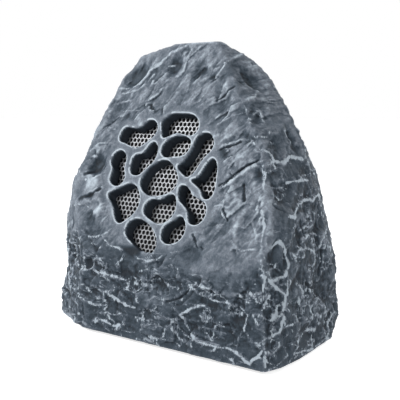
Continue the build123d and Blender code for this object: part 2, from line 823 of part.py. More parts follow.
# ------------------------------------------------------------------ driver
driver_axis = Axis(face.origin, face.z_dir)
# The half section of a turned piece: x is its radius, y its height towards the listener.
half_section = Plane(origin=face.origin, x_dir=face.x_dir, z_dir=-face.y_dir)
lip_radius = driver_cutout + surround_lip / 2
basket_mouth = driver_cutout - surround_lip
coil_hole = coil_outer_radius + 2 * gap_clearance
landing_inner = spider_radius - spider_landing_width

with BuildPart() as driver_gasket:
    with BuildSketch(face.offset(-gasket_front)):
        Circle(driver_radius)
        Circle(lip_radius, mode=Mode.SUBTRACT)
        with Locations(*driver_screw_spots):
            Circle(small_screw_shank + screw_clearance, mode=Mode.SUBTRACT)
    extrude(amount=-driver_gasket_thickness)

with BuildPart() as driver_basket:
    with BuildSketch(half_section):
        with BuildLine():
            Polyline(
                (basket_mouth, -flange_front),
                (driver_radius, -flange_front),
                (driver_radius, -flange_front - flange_thickness),
                (driver_cutout, -flange_front - flange_thickness),
                (basket_rear_radius + basket_wall, -top_plate_front),
                (coil_hole, -top_plate_front),
                (coil_hole, -rear_plate_front),
                (landing_inner, -rear_plate_front),
                (landing_inner, -rear_plate_front + spider_landing_height),
                (spider_radius, -rear_plate_front + spider_landing_height),
                (spider_radius, -rear_plate_front),
                (basket_rear_radius, -rear_plate_front),
                (basket_mouth, -flange_front - flange_thickness),
                close=True,
            )
        make_face()
    revolve(axis=driver_axis)
    # windows between the spokes
    with BuildSketch(face.offset(-rear_plate_front + basket_window_rise)):
        with PolarLocations((spider_radius + driver_cutout) / 2, basket_window_count, start_angle=45):
            Rectangle(driver_cutout - spider_radius, basket_window_width)
        Circle(spider_radius + basket_window_gap, mode=Mode.SUBTRACT)
    extrude(amount=basket_window_height, mode=Mode.SUBTRACT)
    with BuildSketch(face.offset(-flange_front)):
        with Locations(*driver_screw_spots):
            Circle(small_screw_shank + screw_clearance)
    extrude(amount=-flange_thickness, mode=Mode.SUBTRACT)

driver_screws = screws(
    facing_back(face.offset(-flange_front - flange_thickness)),
    driver_screw_spots,
    small_screw_head,
    small_screw_shank,
    flange_front + flange_thickness - baffle_front - 2 * thread_end,
)

driver_top_plate = ring(coil_outer_radius + gap_clearance, top_plate_radius, top_plate_front, magnet_front)
driver_magnet = ring(magnet_bore, magnet_radius, magnet_front, yoke_front)
with BuildPart() as driver_yoke:
    add(ring(0, yoke_radius, yoke_front, yoke_back))
    add(ring(0, coil_inner_radius - gap_clearance, top_plate_front, yoke_front))

cone_front = flange_front
cone_back = cone_front + cone_depth
with BuildPart() as driver_cone:
    with BuildSketch(half_section):
        with BuildLine():
            Polyline(
                (cone_radius, -cone_front),
                (coil_outer_radius, -cone_back),
                (coil_outer_radius, -cone_back - cone_thickness),
                (cone_radius, -cone_front - cone_thickness),
                close=True,
            )
        make_face()
    revolve(axis=driver_axis)

coil_front = cone_back - coil_rise
voice_coil = ring(coil_inner_radius, coil_outer_radius, coil_front, coil_front + coil_length)

cap_seat = cone_front + cone_depth * (cone_radius - dust_cap_radius) / (cone_radius - coil_outer_radius)
dome_radius = (dust_cap_radius**2 + dust_cap_height**2) / (2 * dust_cap_height)
with BuildPart() as dust_cap:
    with BuildSketch(half_section):
        with Locations((0, dust_cap_height - dome_radius - cap_seat)):
            Circle(dome_radius)
            Circle(dome_radius - cone_thickness, mode=Mode.SUBTRACT)
        with Locations((0, -cap_seat)):
            Rectangle(dust_cap_radius, dust_cap_height, align=(Align.MIN, Align.MIN), mode=Mode.INTERSECT)
    revolve(axis=driver_axis)

# The half-roll surround: a flat lip on the basket, a roll, and a lip on the cone.
roll_middle = (cone_radius + basket_mouth) / 2
roll_radius = (basket_mouth - cone_radius) / 2
lip_top = surround_thickness - flange_front
with BuildPart() as driver_surround:
    with BuildSketch(half_section):
        with Locations((roll_middle, -flange_front)):
            Circle(roll_radius + surround_thickness)
            Circle(roll_radius, mode=Mode.SUBTRACT)
            Rectangle(4 * roll_radius, 4 * roll_radius, align=(Align.CENTER, Align.MAX), mode=Mode.SUBTRACT)
        with Locations((cone_radius, -flange_front)):
            Rectangle(surround_lip, surround_thickness, align=(Align.MAX, Align.MIN))
        with Locations((basket_mouth, -flange_front)):
            Rectangle(lip_radius - basket_mouth, surround_thickness, align=(Align.MIN, Align.MIN))
    revolve(axis=driver_axis)

spider_back = rear_plate_front - spider_landing_height
driver_spider = ring(coil_outer_radius, spider_radius, spider_back - spider_thickness, spider_back)

# Terminal board on the basket's back, with two solder tabs.
with BuildPart() as driver_terminals:
    with BuildSketch(face.offset(-top_plate_front)):
        with Locations((0, -top_plate_radius - mating_gap)):
            Rectangle(terminal_width, terminal_reach, align=(Align.CENTER, Align.MAX))
    extrude(amount=-terminal_thickness)
    with BuildSketch(face.offset(-top_plate_front)):
        with Locations((0, -top_plate_radius - terminal_reach)):
            with GridLocations(terminal_width - 2 * tab_width, 0, 2, 1):
                Rectangle(tab_width, tab_reach, align=(Align.CENTER, Align.MAX))
    extrude(amount=-terminal_thickness / 2)

# ------------------------------------------------------------------ control panel
with BuildPart() as panel_gasket:
    with BuildSketch(rear.offset(-panel_back)):
        RectangleRounded(
            panel_width - 2 * panel_clearance, panel_height - 2 * panel_clearance, panel_corner - panel_clearance
        )
        RectangleRounded(
            panel_width - 2 * panel_ledge, panel_height - 2 * panel_ledge, panel_corner / 2, mode=Mode.SUBTRACT
        )
        with Locations(*panel_screw_spots):
            Circle(small_screw_shank + screw_clearance, mode=Mode.SUBTRACT)
    extrude(amount=-panel_gasket_thickness)

pocket_floor = panel_front + port_cover_thickness
pocket_left = port_cover_x - port_cover_width / 2
hinge_x = pocket_left + port_hinge_relief + port_hinge_radius
socket_width = socket_mouth_width + 2 * socket_wall
socket_height = socket_mouth_height + 2 * socket_wall
# Looking along the hinge: x is across the panel, y its depth.
hinge_end = Plane(origin=rear.offset(port_hinge_height - pocket_floor).origin, x_dir=rear.x_dir, z_dir=rear.y_dir)
with BuildPart() as rear_panel:
    with BuildSketch(rear.offset(-panel_back)):
        RectangleRounded(
            panel_width - 2 * panel_clearance, panel_height - 2 * panel_clearance, panel_corner - panel_clearance
        )
        with Locations(*button_spots.values()):
            Circle(button_radius + button_clearance, mode=Mode.SUBTRACT)
        with Locations((lens_x, lower_row_y)):
            Circle(lens_radius + mating_gap, mode=Mode.SUBTRACT)
        with Locations(*panel_screw_spots):
            Circle(small_screw_shank + screw_clearance, mode=Mode.SUBTRACT)
        with Locations((socket_x, lower_row_y)):
            SlotOverall(socket_width + 2 * socket_clearance, socket_height + 2 * socket_clearance, mode=Mode.SUBTRACT)
    extrude(amount=panel_thickness)
    # pocket, hinge groove and pin holes of the port cover
    with BuildSketch(rear.offset(-pocket_floor)):
        with Locations((port_cover_x, lower_row_y)):
            Rectangle(port_cover_width, port_cover_height)
    extrude(amount=port_cover_thickness, mode=Mode.SUBTRACT)
    with BuildSketch(hinge_end.offset(lower_row_y - port_cover_height / 2)):
        with Locations((hinge_x, 0)):
            Circle(port_hinge_radius + port_cover_clearance)
    extrude(amount=port_cover_height, mode=Mode.SUBTRACT)
    with BuildSketch(hinge_end.offset(lower_row_y)):
        with Locations((hinge_x, 0)):
            Circle(port_pin_radius + port_pin_clearance)
    extrude(
        amount=port_cover_height / 2 + port_pin_length + port_cover_clearance, both=True, mode=Mode.SUBTRACT
    )
    # counterbores of the panel screws
    with BuildSketch(rear.offset(-panel_front)):
        with Locations(*panel_screw_spots):
            Circle(small_screw_head[0] + screw_clearance)
    extrude(amount=-small_screw_head[1], mode=Mode.SUBTRACT)
    # posts of the control board
    with BuildSketch(rear.offset(-panel_back)):
        with Locations(*control_post_spots):
            Circle(control_post_radius)
    extrude(amount=-control_board_gap)
    with BuildSketch(rear.offset(-control_board_front)):
        with Locations(*control_post_spots):
            Circle(small_screw_shank + thread_clearance)
    extrude(amount=control_board_gap, mode=Mode.SUBTRACT)

panel_screws = screws(
    rear.offset(-panel_front - small_screw_head[1]),
    panel_screw_spots,
    small_screw_head,
    small_screw_shank,
    ledge_back + panel_boss_height - thread_end - panel_front - small_screw_head[1],
)

switch_front = control_board_front - switch_height
flange_face = panel_back + mating_gap
buttons = {}
for button_name, button_spot in button_spots.items():
    with BuildPart() as button:
        with BuildSketch(rear.offset(-flange_face)):
            with Locations(button_spot):
                Circle(button_radius)
        extrude(amount=flange_face - panel_front + button_proud)
        fillet(button.faces().sort_by(Axis(rear.origin, rear.z_dir))[-1].edges(), button_edge_round)
        with BuildSketch(rear.offset(-flange_face)):
            with Locations(button_spot):
                Circle(button_radius + button_flange)
        extrude(amount=-button_flange_thickness)
        with BuildSketch(rear.offset(-flange_face)):
            with Locations(button_spot):
                Circle(plunger_radius)
        extrude(amount=flange_face - switch_front - plunger_reach)
    buttons[button_name] = button

with BuildPart() as button_switches:
    with BuildSketch(rear.offset(-switch_front)):
        with Locations(*button_spots.values()):
            Rectangle(switch_size, switch_size)
    extrude(amount=-switch_height)
    with BuildSketch(rear.offset(-switch_front)):
        with Locations(*button_spots.values()):
            Circle(plunger_radius + plunger_clearance)
    extrude(amount=-plunger_reach - button_travel - plunger_clearance, mode=Mode.SUBTRACT)

with BuildPart() as control_board:
    with BuildSketch(rear.offset(-control_board_front)):
        RectangleRounded(control_board_width, control_board_height, board_corner)
        with Locations(*control_post_spots):
            Circle(small_screw_shank + screw_clearance, mode=Mode.SUBTRACT)
    extrude(amount=-board_thickness)

control_board_screws = screws(
    facing_back(rear.offset(-control_board_back)),
    control_post_spots,
    small_screw_head,
    small_screw_shank,
    board_thickness + control_board_gap - thread_end,
)

with BuildPart() as status_lens:
    with BuildSketch(rear.offset(-panel_front)):
        with Locations((lens_x, lower_row_y)):
            Circle(lens_radius)
    extrude(amount=panel_front + led_height + mating_gap - control_board_front)
    with BuildSketch(rear.offset(-panel_back)):
        with Locations((lens_x, lower_row_y)):
            Circle(lens_radius + lens_flange)
    extrude(amount=-lens_flange)

with BuildPart() as status_led:
    with BuildSketch(rear.offset(-control_board_front)):
        with Locations((lens_x, lower_row_y)):
            Rectangle(led_size, led_size)
    extrude(amount=led_height)

socket_front = panel_back + mating_gap
with BuildPart() as charge_socket:
    with BuildSketch(rear.offset(-control_board_front)):
        with Locations((socket_x, lower_row_y)):
            SlotOverall(socket_width, socket_height)
    extrude(amount=control_board_front - socket_front)
    with BuildSketch(rear.offset(-socket_front)):
        with Locations((socket_x, lower_row_y)):
            SlotOverall(socket_mouth_width, socket_mouth_height)
            Rectangle(socket_tongue_width, socket_tongue_thickness, mode=Mode.SUBTRACT)
    extrude(amount=-socket_depth, mode=Mode.SUBTRACT)

leaf_right = port_cover_x + port_cover_width / 2 - port_cover_clearance
leaf_height = port_cover_height - 2 * port_cover_clearance
with BuildPart() as port_cover:
    with BuildSketch(rear.offset(-pocket_floor)):
        with Locations((hinge_x, lower_row_y)):
            Rectangle(leaf_right - hinge_x, leaf_height, align=(Align.MIN, Align.CENTER))
    extrude(amount=port_cover_thickness)
    # bead and pins that turn in the panel
    with BuildSketch(hinge_end.offset(lower_row_y)):
        with Locations((hinge_x, 0)):
            Circle(port_hinge_radius)
    extrude(amount=leaf_height / 2, both=True)
    with BuildSketch(hinge_end.offset(lower_row_y)):
        with Locations((hinge_x, 0)):
            Circle(port_pin_radius)
    extrude(amount=leaf_height / 2 + port_cover_clearance + port_pin_length, both=True)
    # finger tab, and the plug that closes the socket's slot
    with BuildSketch(rear.offset(-panel_front)):
        with Locations((leaf_right - 2 * port_tab, lower_row_y)):
            SlotOverall(leaf_height / 2, 2 * port_tab, rotation=90)
    extrude(amount=port_tab)
    with BuildSketch(rear.offset(-pocket_floor)):
        with Locations((socket_x, lower_row_y)):
            SlotOverall(socket_width - 2 * plug_clearance, socket_height - 2 * plug_clearance)
    extrude(amount=pocket_floor - panel_back)

# Plug of the ribbon on the back of the control board.
with BuildPart() as ribbon_connector:
    with BuildSketch(rear.offset(-control_board_back)):
        with Locations((ribbon_x, ribbon_y)):
            Rectangle(ribbon_width + 2 * ribbon_plug_margin, connector_length)
    extrude(amount=-ribbon_connector_height)

# ------------------------------------------------------------------ amplifier board
with BuildPart() as main_board:
    with BuildSketch(Plane.XY.offset(main_board_bottom)):
        with Locations((board_x, board_y)):
            RectangleRounded(board_width, board_length, board_corner)
        with Locations(*board_post_spots):
            Circle(small_screw_shank + screw_clearance, mode=Mode.SUBTRACT)
    extrude(amount=board_thickness)

board_screws = screws(
    Plane.XY.offset(main_board_top),
    board_post_spots,
    small_screw_head,
    small_screw_shank,
    board_thickness + board_post_height - thread_end,
)

with BuildPart() as bluetooth_module:
    with BuildSketch(Plane.XY.offset(main_board_top)):
        with Locations((board_x + module_offset[0], board_y + module_offset[1])):
            Rectangle(module_width, module_length)
    extrude(amount=module_height)

heatsink_spot = (board_x + heatsink_offset[0], board_y + heatsink_offset[1])
with BuildPart() as amplifier_heatsink:
    with BuildSketch(Plane.XY.offset(main_board_top)):
        with Locations(heatsink_spot):
            Rectangle(heatsink_width, heatsink_length)
    extrude(amount=heatsink_base)
    with BuildSketch(Plane.XY.offset(main_board_top + heatsink_base)):
        with Locations(heatsink_spot):
            with GridLocations((heatsink_width - heatsink_fin) / (heatsink_fins - 1), 0, heatsink_fins, 1):
                Rectangle(heatsink_fin, heatsink_length)
    extrude(amount=heatsink_height - heatsink_base)

with BuildPart() as board_capacitors:
    with BuildSketch(Plane.XY.offset(main_board_top)):
        with Locations((board_x + capacitor_offset[0], board_y + capacitor_offset[1])):
            with GridLocations(2 * capacitor_radius + capacitor_gap, 0, 2, 1):
                Circle(capacitor_radius)
    extrude(amount=capacitor_height)

with BuildPart() as board_connectors:
    with BuildSketch(Plane.XY.offset(main_board_top)):
        with Locations(speaker_port, battery_port):
            Rectangle(connector_width, connector_length)
        with Locations(control_port):
            Rectangle(ribbon_width + 2 * ribbon_plug_margin, connector_length)
    extrude(amount=connector_height)

# ------------------------------------------------------------------ battery
cell_pitch = 2 * cell_radius + cell_gap
cradle_width = cell_count * cell_pitch + 2 * cradle_wall
cell_middle = plate_top + cradle_floor + cell_radius
cell_end = battery_y + cell_length / 2
cell_plane = Plane(origin=(battery_x, cell_end, cell_middle), x_dir=(1, 0, 0), z_dir=(0, -1, 0))
with BuildPart() as battery_cradle:
    with BuildSketch(Plane.XY.offset(plate_top)):
        with Locations((battery_x, battery_y)):
            Rectangle(cradle_width, cell_length + 2 * cradle_wall)
    extrude(amount=cradle_height)
    with BuildSketch(cell_plane.offset(-mating_gap)):
        with GridLocations(cell_pitch, 0, cell_count, 1):
            Circle(cell_radius + mating_gap)
    extrude(amount=cell_length + 2 * mating_gap, mode=Mode.SUBTRACT)

with BuildPart() as battery_cells:
    with BuildSketch(cell_plane):
        with GridLocations(cell_pitch, 0, cell_count, 1):
            Circle(cell_radius)
    extrude(amount=cell_length)

strap_top = cell_middle + cell_radius + mating_gap
strap_outer = strap_inner + strap_thickness
strap_plane = Plane(origin=(battery_x, battery_y + strap_width / 2, 0), x_dir=(1, 0, 0), z_dir=(0, -1, 0))
with BuildPart() as battery_strap:
    with BuildSketch(strap_plane):
        with BuildLine():
            Polyline(
                (-strap_outer - strap_foot, plate_top),
                (-strap_inner, plate_top),
                (-strap_inner, strap_top),
                (strap_inner, strap_top),
                (strap_inner, plate_top),
                (strap_outer + strap_foot, plate_top),
                (strap_outer + strap_foot, plate_top + strap_thickness),
                (strap_outer, plate_top + strap_thickness),
                (strap_outer, strap_top + strap_thickness),
                (-strap_outer, strap_top + strap_thickness),
                (-strap_outer, plate_top + strap_thickness),
                (-strap_outer - strap_foot, plate_top + strap_thickness),
                close=True,
            )
        make_face()
    extrude(amount=strap_width)
    with BuildSketch(Plane.XY.offset(plate_top)):
        with Locations(*strap_screw_spots):
            Circle(small_screw_shank + screw_clearance)
    extrude(amount=strap_thickness, mode=Mode.SUBTRACT)

strap_screws = screws(
    Plane.XY.offset(plate_top + strap_thickness),
    strap_screw_spots,
    small_screw_head,
    small_screw_shank,
    strap_thickness + base_plate_thickness - thread_end / 2,
)

# ------------------------------------------------------------------ leads inside the rock
tab_tip = face.from_local_coords(
    Vector(0, -top_plate_radius - terminal_reach - tab_reach, -top_plate_front - terminal_thickness / 4)
)
speaker_leads = round_lead(
    [
        tab_tip,
        tab_tip - face.y_dir * 22,
        Vector(speaker_port[0] + 14, speaker_port[1] - 30, connector_top + 24),
        Vector(*speaker_port, connector_top + 20),
        Vector(*speaker_port, connector_top),
    ],
    [9, 9, 6],
)
battery_leads = round_lead(
    [
        Vector(battery_x - cell_pitch, cell_end, cell_middle + cell_radius / 2),
        Vector(battery_x - cell_pitch, cell_end + 14, cell_middle + cell_radius / 2),
        Vector((battery_x + battery_port[0]) / 2 - 10, cell_end + 8, connector_top + 12),
        Vector(*battery_port, connector_top + 16),
        Vector(*battery_port, connector_top),
    ],
    [6, 9, 6],
)
ribbon_start = rear.from_local_coords(Vector(ribbon_x, ribbon_y, -control_board_back - ribbon_connector_height))
with BuildPart() as control_ribbon:
    with BuildLine() as ribbon_route:
        FilletPolyline(
            ribbon_start,
            ribbon_start - rear.z_dir * 12,
            Vector(ribbon_start.X, control_port[1], connector_top + 22),
            Vector(ribbon_start.X, control_port[1], connector_top),
            radius=[6, 6],
        )
    with BuildSketch(Plane(origin=ribbon_route.line @ 0, x_dir=(1, 0, 0), z_dir=ribbon_route.line % 0)):
        Rectangle(ribbon_width, ribbon_thickness)
    sweep(path=ribbon_route.line)

pieces = {
    "rock_shell": rock_shell.part,
    "base_plate": base_plate.part,
    "base_gasket": base_gasket.part,
    "rubber_feet": rubber_feet.part,
    "base_screws": base_screws,
    "speaker_grille": speaker_grille.part,
    "grille_cloth": grille_cloth.part,
    "baffle": baffle.part,
    "baffle_screws": baffle_screws,
    "driver_gasket": driver_gasket.part,
    "driver_basket": driver_basket.part,
    "driver_screws": driver_screws,
    "driver_top_plate": driver_top_plate,
    "driver_magnet": driver_magnet,
    "driver_yoke": driver_yoke.part,
    "driver_cone": driver_cone.part,
    "voice_coil": voice_coil,
    "dust_cap": dust_cap.part,
    "driver_surround": driver_surround.part,
    "driver_spider": driver_spider,
    "driver_terminals": driver_terminals.part,
    "speaker_leads": speaker_leads,
    "panel_gasket": panel_gasket.part,
    "rear_panel": rear_panel.part,
    "panel_screws": panel_screws,
    **{name: button.part for name, button in buttons.items()},
    "button_switches": button_switches.part,
    "control_board": control_board.part,
    "control_board_screws": control_board_screws,
    "status_lens": status_lens.part,
    "status_led": status_led.part,
    "charge_socket": charge_socket.part,
    "port_cover": port_cover.part,
    "ribbon_connector": ribbon_connector.part,
    "control_ribbon": control_ribbon.part,
    "main_board": main_board.part,
    "board_screws": board_screws,
    "bluetooth_module": bluetooth_module.part,
    "amplifier_heatsink": amplifier_heatsink.part,
    "board_capacitors": board_capacitors.part,
    "board_connectors": board_connectors.part,
    "battery_cradle": battery_cradle.part,
    "battery_cells": battery_cells.part,
    "battery_strap": battery_strap.part,
    "strap_screws": strap_screws,
    "battery_leads": battery_leads,
}

os.makedirs("parts", exist_ok=True)
for piece_name, piece in pieces.items():
    piece.label = piece_name
    export_step(piece, f"parts/{piece_name}.step")
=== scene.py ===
"""The looks of the boulder speaker: painted cast stone, honeycomb grille and control panel.

Lengths are millimetres while a shape is worked out and become metres as it goes into a mesh. In calls of
wave, waves and cells, a length and a seed come after the points; in warped, an amount comes before those two.
"""

import json
from itertools import product
from math import cos, pi, radians, sin

import bpy
import numpy as np
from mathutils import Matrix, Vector, kdtree


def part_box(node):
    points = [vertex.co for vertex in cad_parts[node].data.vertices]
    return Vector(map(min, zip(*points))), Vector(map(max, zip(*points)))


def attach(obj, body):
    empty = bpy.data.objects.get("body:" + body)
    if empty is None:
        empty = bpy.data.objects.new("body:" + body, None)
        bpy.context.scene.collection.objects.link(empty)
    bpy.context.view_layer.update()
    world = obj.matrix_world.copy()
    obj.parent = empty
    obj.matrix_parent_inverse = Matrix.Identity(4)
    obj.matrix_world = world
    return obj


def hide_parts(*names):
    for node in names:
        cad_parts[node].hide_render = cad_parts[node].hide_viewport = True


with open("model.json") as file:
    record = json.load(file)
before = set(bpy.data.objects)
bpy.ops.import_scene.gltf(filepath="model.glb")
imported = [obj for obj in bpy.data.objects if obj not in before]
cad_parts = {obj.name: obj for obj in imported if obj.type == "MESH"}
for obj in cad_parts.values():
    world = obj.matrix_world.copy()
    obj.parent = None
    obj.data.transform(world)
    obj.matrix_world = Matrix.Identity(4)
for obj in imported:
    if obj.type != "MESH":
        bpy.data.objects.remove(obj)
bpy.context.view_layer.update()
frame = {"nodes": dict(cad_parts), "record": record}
nodes = frame["nodes"]
MM = 0.001

# ------------------------------------------------------------------ driving values
voxel = 1.25  # cell of the rock's mesh
face_tilt = radians(19)
grille_mid_depth = 11.5  # of the grille's middle below the rock's front face
hole_pitch = 5.2
hole_size = 4.25  # across the flats
grille_thickness = 1.0
grille_corner = 20  # radius of the sheet's corners
grille_edge = 4  # the sheet's plain edge, without holes
wall_stretch = 0.5  # the openings' walls reach this much further back than the shell does
wall_lean = (0.62, -0.45)  # right and up for each millimetre of depth
rim_widening = 0.6
highest_relief, deepest_relief = 3.5, 4.5
vein_width = 0.55  # half the width of a painted ridge for each unit in the lists below
out_of_reach = 6.0  # added to a ridge's distance where it isn't to show

camera_place = (0.4968, -0.6397, 0.2304)
camera_yaw = radians(38.2)
camera_pitch = radians(6.83)
camera_lens = 69.97
sensor_width = 36.0
sky_light = 0.24  # strength of the white surroundings as light on the object
floor_glow = 0.75
floor_reach = 12  # metres from the middle to the floor's edges
lamp_target = Vector((0, 0, 0.14))


# ------------------------------------------------------------------ noise and small numeric helpers
def smoothstep(low, high, value):
    """0 below low, 1 above high and a smooth step between; low may be the larger of the two."""
    t = np.clip((value - low) / (high - low), 0, 1)
    return t * t * (3 - 2 * t)


def scramble(cells, seed):
    """A well mixed whole number for each integer cell."""
    mixed = cells[:, 0] * 73856093 ^ cells[:, 1] * 19349663 ^ cells[:, 2] * 83492791 ^ (seed + 1) * 2654435761
    mixed = (mixed ^ (mixed >> 13)) * 1274126177 & 0xFFFFFFFF
    return (mixed ^ (mixed >> 16)) & 0xFFFFFFFF


def unit_vectors(seed):
    """A table of 256 directions."""
    found = np.random.default_rng(seed).normal(size=(256, 3))
    return found / np.linalg.norm(found, axis=1)[:, None]


directions = unit_vectors(7)


def wave(points, length, seed):
    """Gradient noise from about -1 to 1 with waves of one length."""
    scaled = points / length
    cell = np.floor(scaled).astype(np.int64)
    part = scaled - cell
    fade = part * part * part * (part * (part * 6 - 15) + 10)
    total = np.zeros(len(points))
    for corner in product((0, 1), repeat=3):
        arrow = directions[scramble(cell + np.array(corner), seed) & 255]
        weight = np.prod(np.where(corner, fade, 1 - fade), axis=1)
        total += weight * ((part - np.array(corner)) * arrow).sum(1)
    return total * 1.6


def waves(points, length, seed, octaves=3, falloff=0.5):
    """Several octaves of noise, from about -1 to 1."""
    total, size, most = np.zeros(len(points)), 1.0, 0.0
    for octave in range(octaves):
        total += size * wave(points, length / 2**octave, seed + octave)
        most += size
        size *= falloff
    return total / most


def cells(points, size, seed):
    """Voronoi cells: distance to the nearest border, offset from the cell's middle, and the cell's number."""
    scaled = points / size
    base = np.floor(scaled).astype(np.int64)
    first = np.full(len(points), 9.0)
    second = np.full(len(points), 9.0)
    offset = np.zeros((len(points), 3))
    number = np.zeros(len(points), np.int64)
    for step in product((-1, 0, 1), repeat=3):
        cell = base + np.array(step)
        mixed = scramble(cell, seed)
        jitter = np.stack([(mixed >> shift & 255) / 255 for shift in (0, 8, 16)], 1)
        away = scaled - cell - 0.1 - 0.8 * jitter
        distance = np.linalg.norm(away, axis=1)
        nearer = distance < first
        second = np.where(nearer, first, np.minimum(second, distance))
        offset = np.where(nearer[:, None], away, offset)
        number = np.where(nearer, mixed, number)
        first = np.where(nearer, distance, first)
    return (second - first) * size, offset * size, number


def warped(points, amount, length, seed):
    """The points, each moved about by noise."""
    moves = [waves(points, length, seed + 11 * axis, 2) for axis in range(3)]
    return points + amount * np.stack(moves, 1)


def to_line(spots, line):
    """Each spot's distance to a polyline, in two dimensions."""
    nearest = np.full(len(spots), 1e9)
    for start, end in zip(line[:-1], line[1:]):
        a, run = np.array(start, float), np.array(end, float) - np.array(start, float)
        share = np.clip((spots - a) @ run / (run @ run), 0, 1)
        nearest = np.minimum(nearest, np.linalg.norm(spots - a - share[:, None] * run, axis=1))
    return nearest


# ------------------------------------------------------------------ mesh helpers
def new_object(name, data):
    piece = bpy.data.objects.new(name, data)
    bpy.context.scene.collection.objects.link(piece)
    return piece


def read(items, name, width, kind=np.float32):
    found = np.zeros(len(items) * width, kind)
    items.foreach_get(name, found)
    return found.reshape(-1, width) if width > 1 else found


def remeshed(name, node, cell):
    """A new object with the node's shape in even quads of about one size."""
    mesh = nodes[node].data.copy()
    piece = new_object(name, mesh)
    weld = piece.modifiers.new("weld", "WELD")
    weld.merge_threshold = 1e-5
    remesh = piece.modifiers.new("remesh", "REMESH")
    remesh.mode = "VOXEL"
    remesh.voxel_size = cell * MM
    depsgraph = bpy.context.evaluated_depsgraph_get()
    made = bpy.data.meshes.new_from_object(piece.evaluated_get(depsgraph))
    piece.modifiers.clear()
    piece.data = made
    bpy.data.meshes.remove(mesh)
    return piece


def place_vertices(mesh, places):
    mesh.vertices.foreach_set("co", (places * MM).ravel().astype(np.float32))
    mesh.update()


class Neighbours:
    """Averages over the vertices that share an edge."""

    def __init__(self, edges, number):
        self.one, self.two = edges[:, 0], edges[:, 1]
        self.number = number
        self.count = np.bincount(edges.ravel(), minlength=number).clip(1)

    def among(self, chosen):
        """The same for some of the vertices, in their own order."""
        place = np.full(self.number, -1)
        place[chosen] = np.arange(len(chosen))
        edges = np.column_stack([place[self.one], place[self.two]])
        return Neighbours(edges[(edges >= 0).all(1)], len(chosen))

    def mean(self, values):
        if values.ndim == 2:
            return np.stack([self.mean(column) for column in values.T], 1)
        total = np.bincount(self.one, values[self.two], self.number)
        total += np.bincount(self.two, values[self.one], self.number)
        return total / self.count

    def smooth(self, values, times, share=0.5):
        for _ in range(times):
            values = values + share * (self.mean(values) - values)
        return values


def paint(mesh, name, values):
    """A value for each vertex that materials read by name."""
    attribute = mesh.attributes.new(name, "FLOAT", "POINT")
    attribute.data.foreach_set("value", np.clip(values, 0, 1).astype(np.float32))


# ------------------------------------------------------------------ the rock's own places
face_normal = np.array([0, -cos(face_tilt), sin(face_tilt)])
face_up = np.array([0, sin(face_tilt), cos(face_tilt)])
grille_low, grille_high = (np.array(corner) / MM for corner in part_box("speaker_grille"))
face_middle = (grille_low + grille_high) / 2 + grille_mid_depth * face_normal


def on_face(points):
    """Right and up in the front face's plane from the grille's middle, and height above that plane."""
    away = points - face_middle
    return np.stack([away[:, 0], away @ face_up], 1), away @ face_normal


def facet_planes(points, normals, areas):
    """The flat facets on the rock's outside, each as its normal and its distance from the origin."""
    planes = []
    keys = np.round(np.column_stack([normals, (points * normals).sum(1) / 50]), 2)
    kinds, which = np.unique(keys, axis=0, return_inverse=True)
    area = np.bincount(which.ravel(), areas)
    for kind in np.flatnonzero(area > 250):
        here = which.ravel() == kind
        normal = (normals[here] * areas[here, None]).sum(0)
        normal /= np.linalg.norm(normal)
        reach = (points @ normal).max()
        if (points[here] @ normal).mean() > reach - 0.05 and normal[2] > -0.9:
            planes.append((normal, reach))
    return planes


def read_rock():
    """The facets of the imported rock, and points along the rims of its openings."""
    mesh = nodes["rock_shell"].data
    mesh.calc_loop_triangles()
    corners = read(mesh.vertices, "co", 3)[read(mesh.loop_triangles, "vertices", 3, np.int32)] / MM
    crossed = np.cross(corners[:, 1] - corners[:, 0], corners[:, 2] - corners[:, 0])
    doubled = np.linalg.norm(crossed, axis=1).clip(1e-9)
    normals = crossed / doubled[:, None]
    planes = facet_planes(corners.mean(1), normals, doubled / 2)
    rims = []
    walls = corners[np.abs(normals @ face_normal) < 0.02]
    height = (walls - face_middle) @ face_normal
    for i, j in ((0, 1), (1, 2), (2, 0)):
        along = (np.abs(height[:, i]) < 0.05) & (np.abs(height[:, j]) < 0.05)
        starts, ends = walls[along, i], walls[along, j]
        for share in np.linspace(0, 1, 6):
            rims.append(starts + share * (ends - starts))
    return planes, np.concatenate(rims)


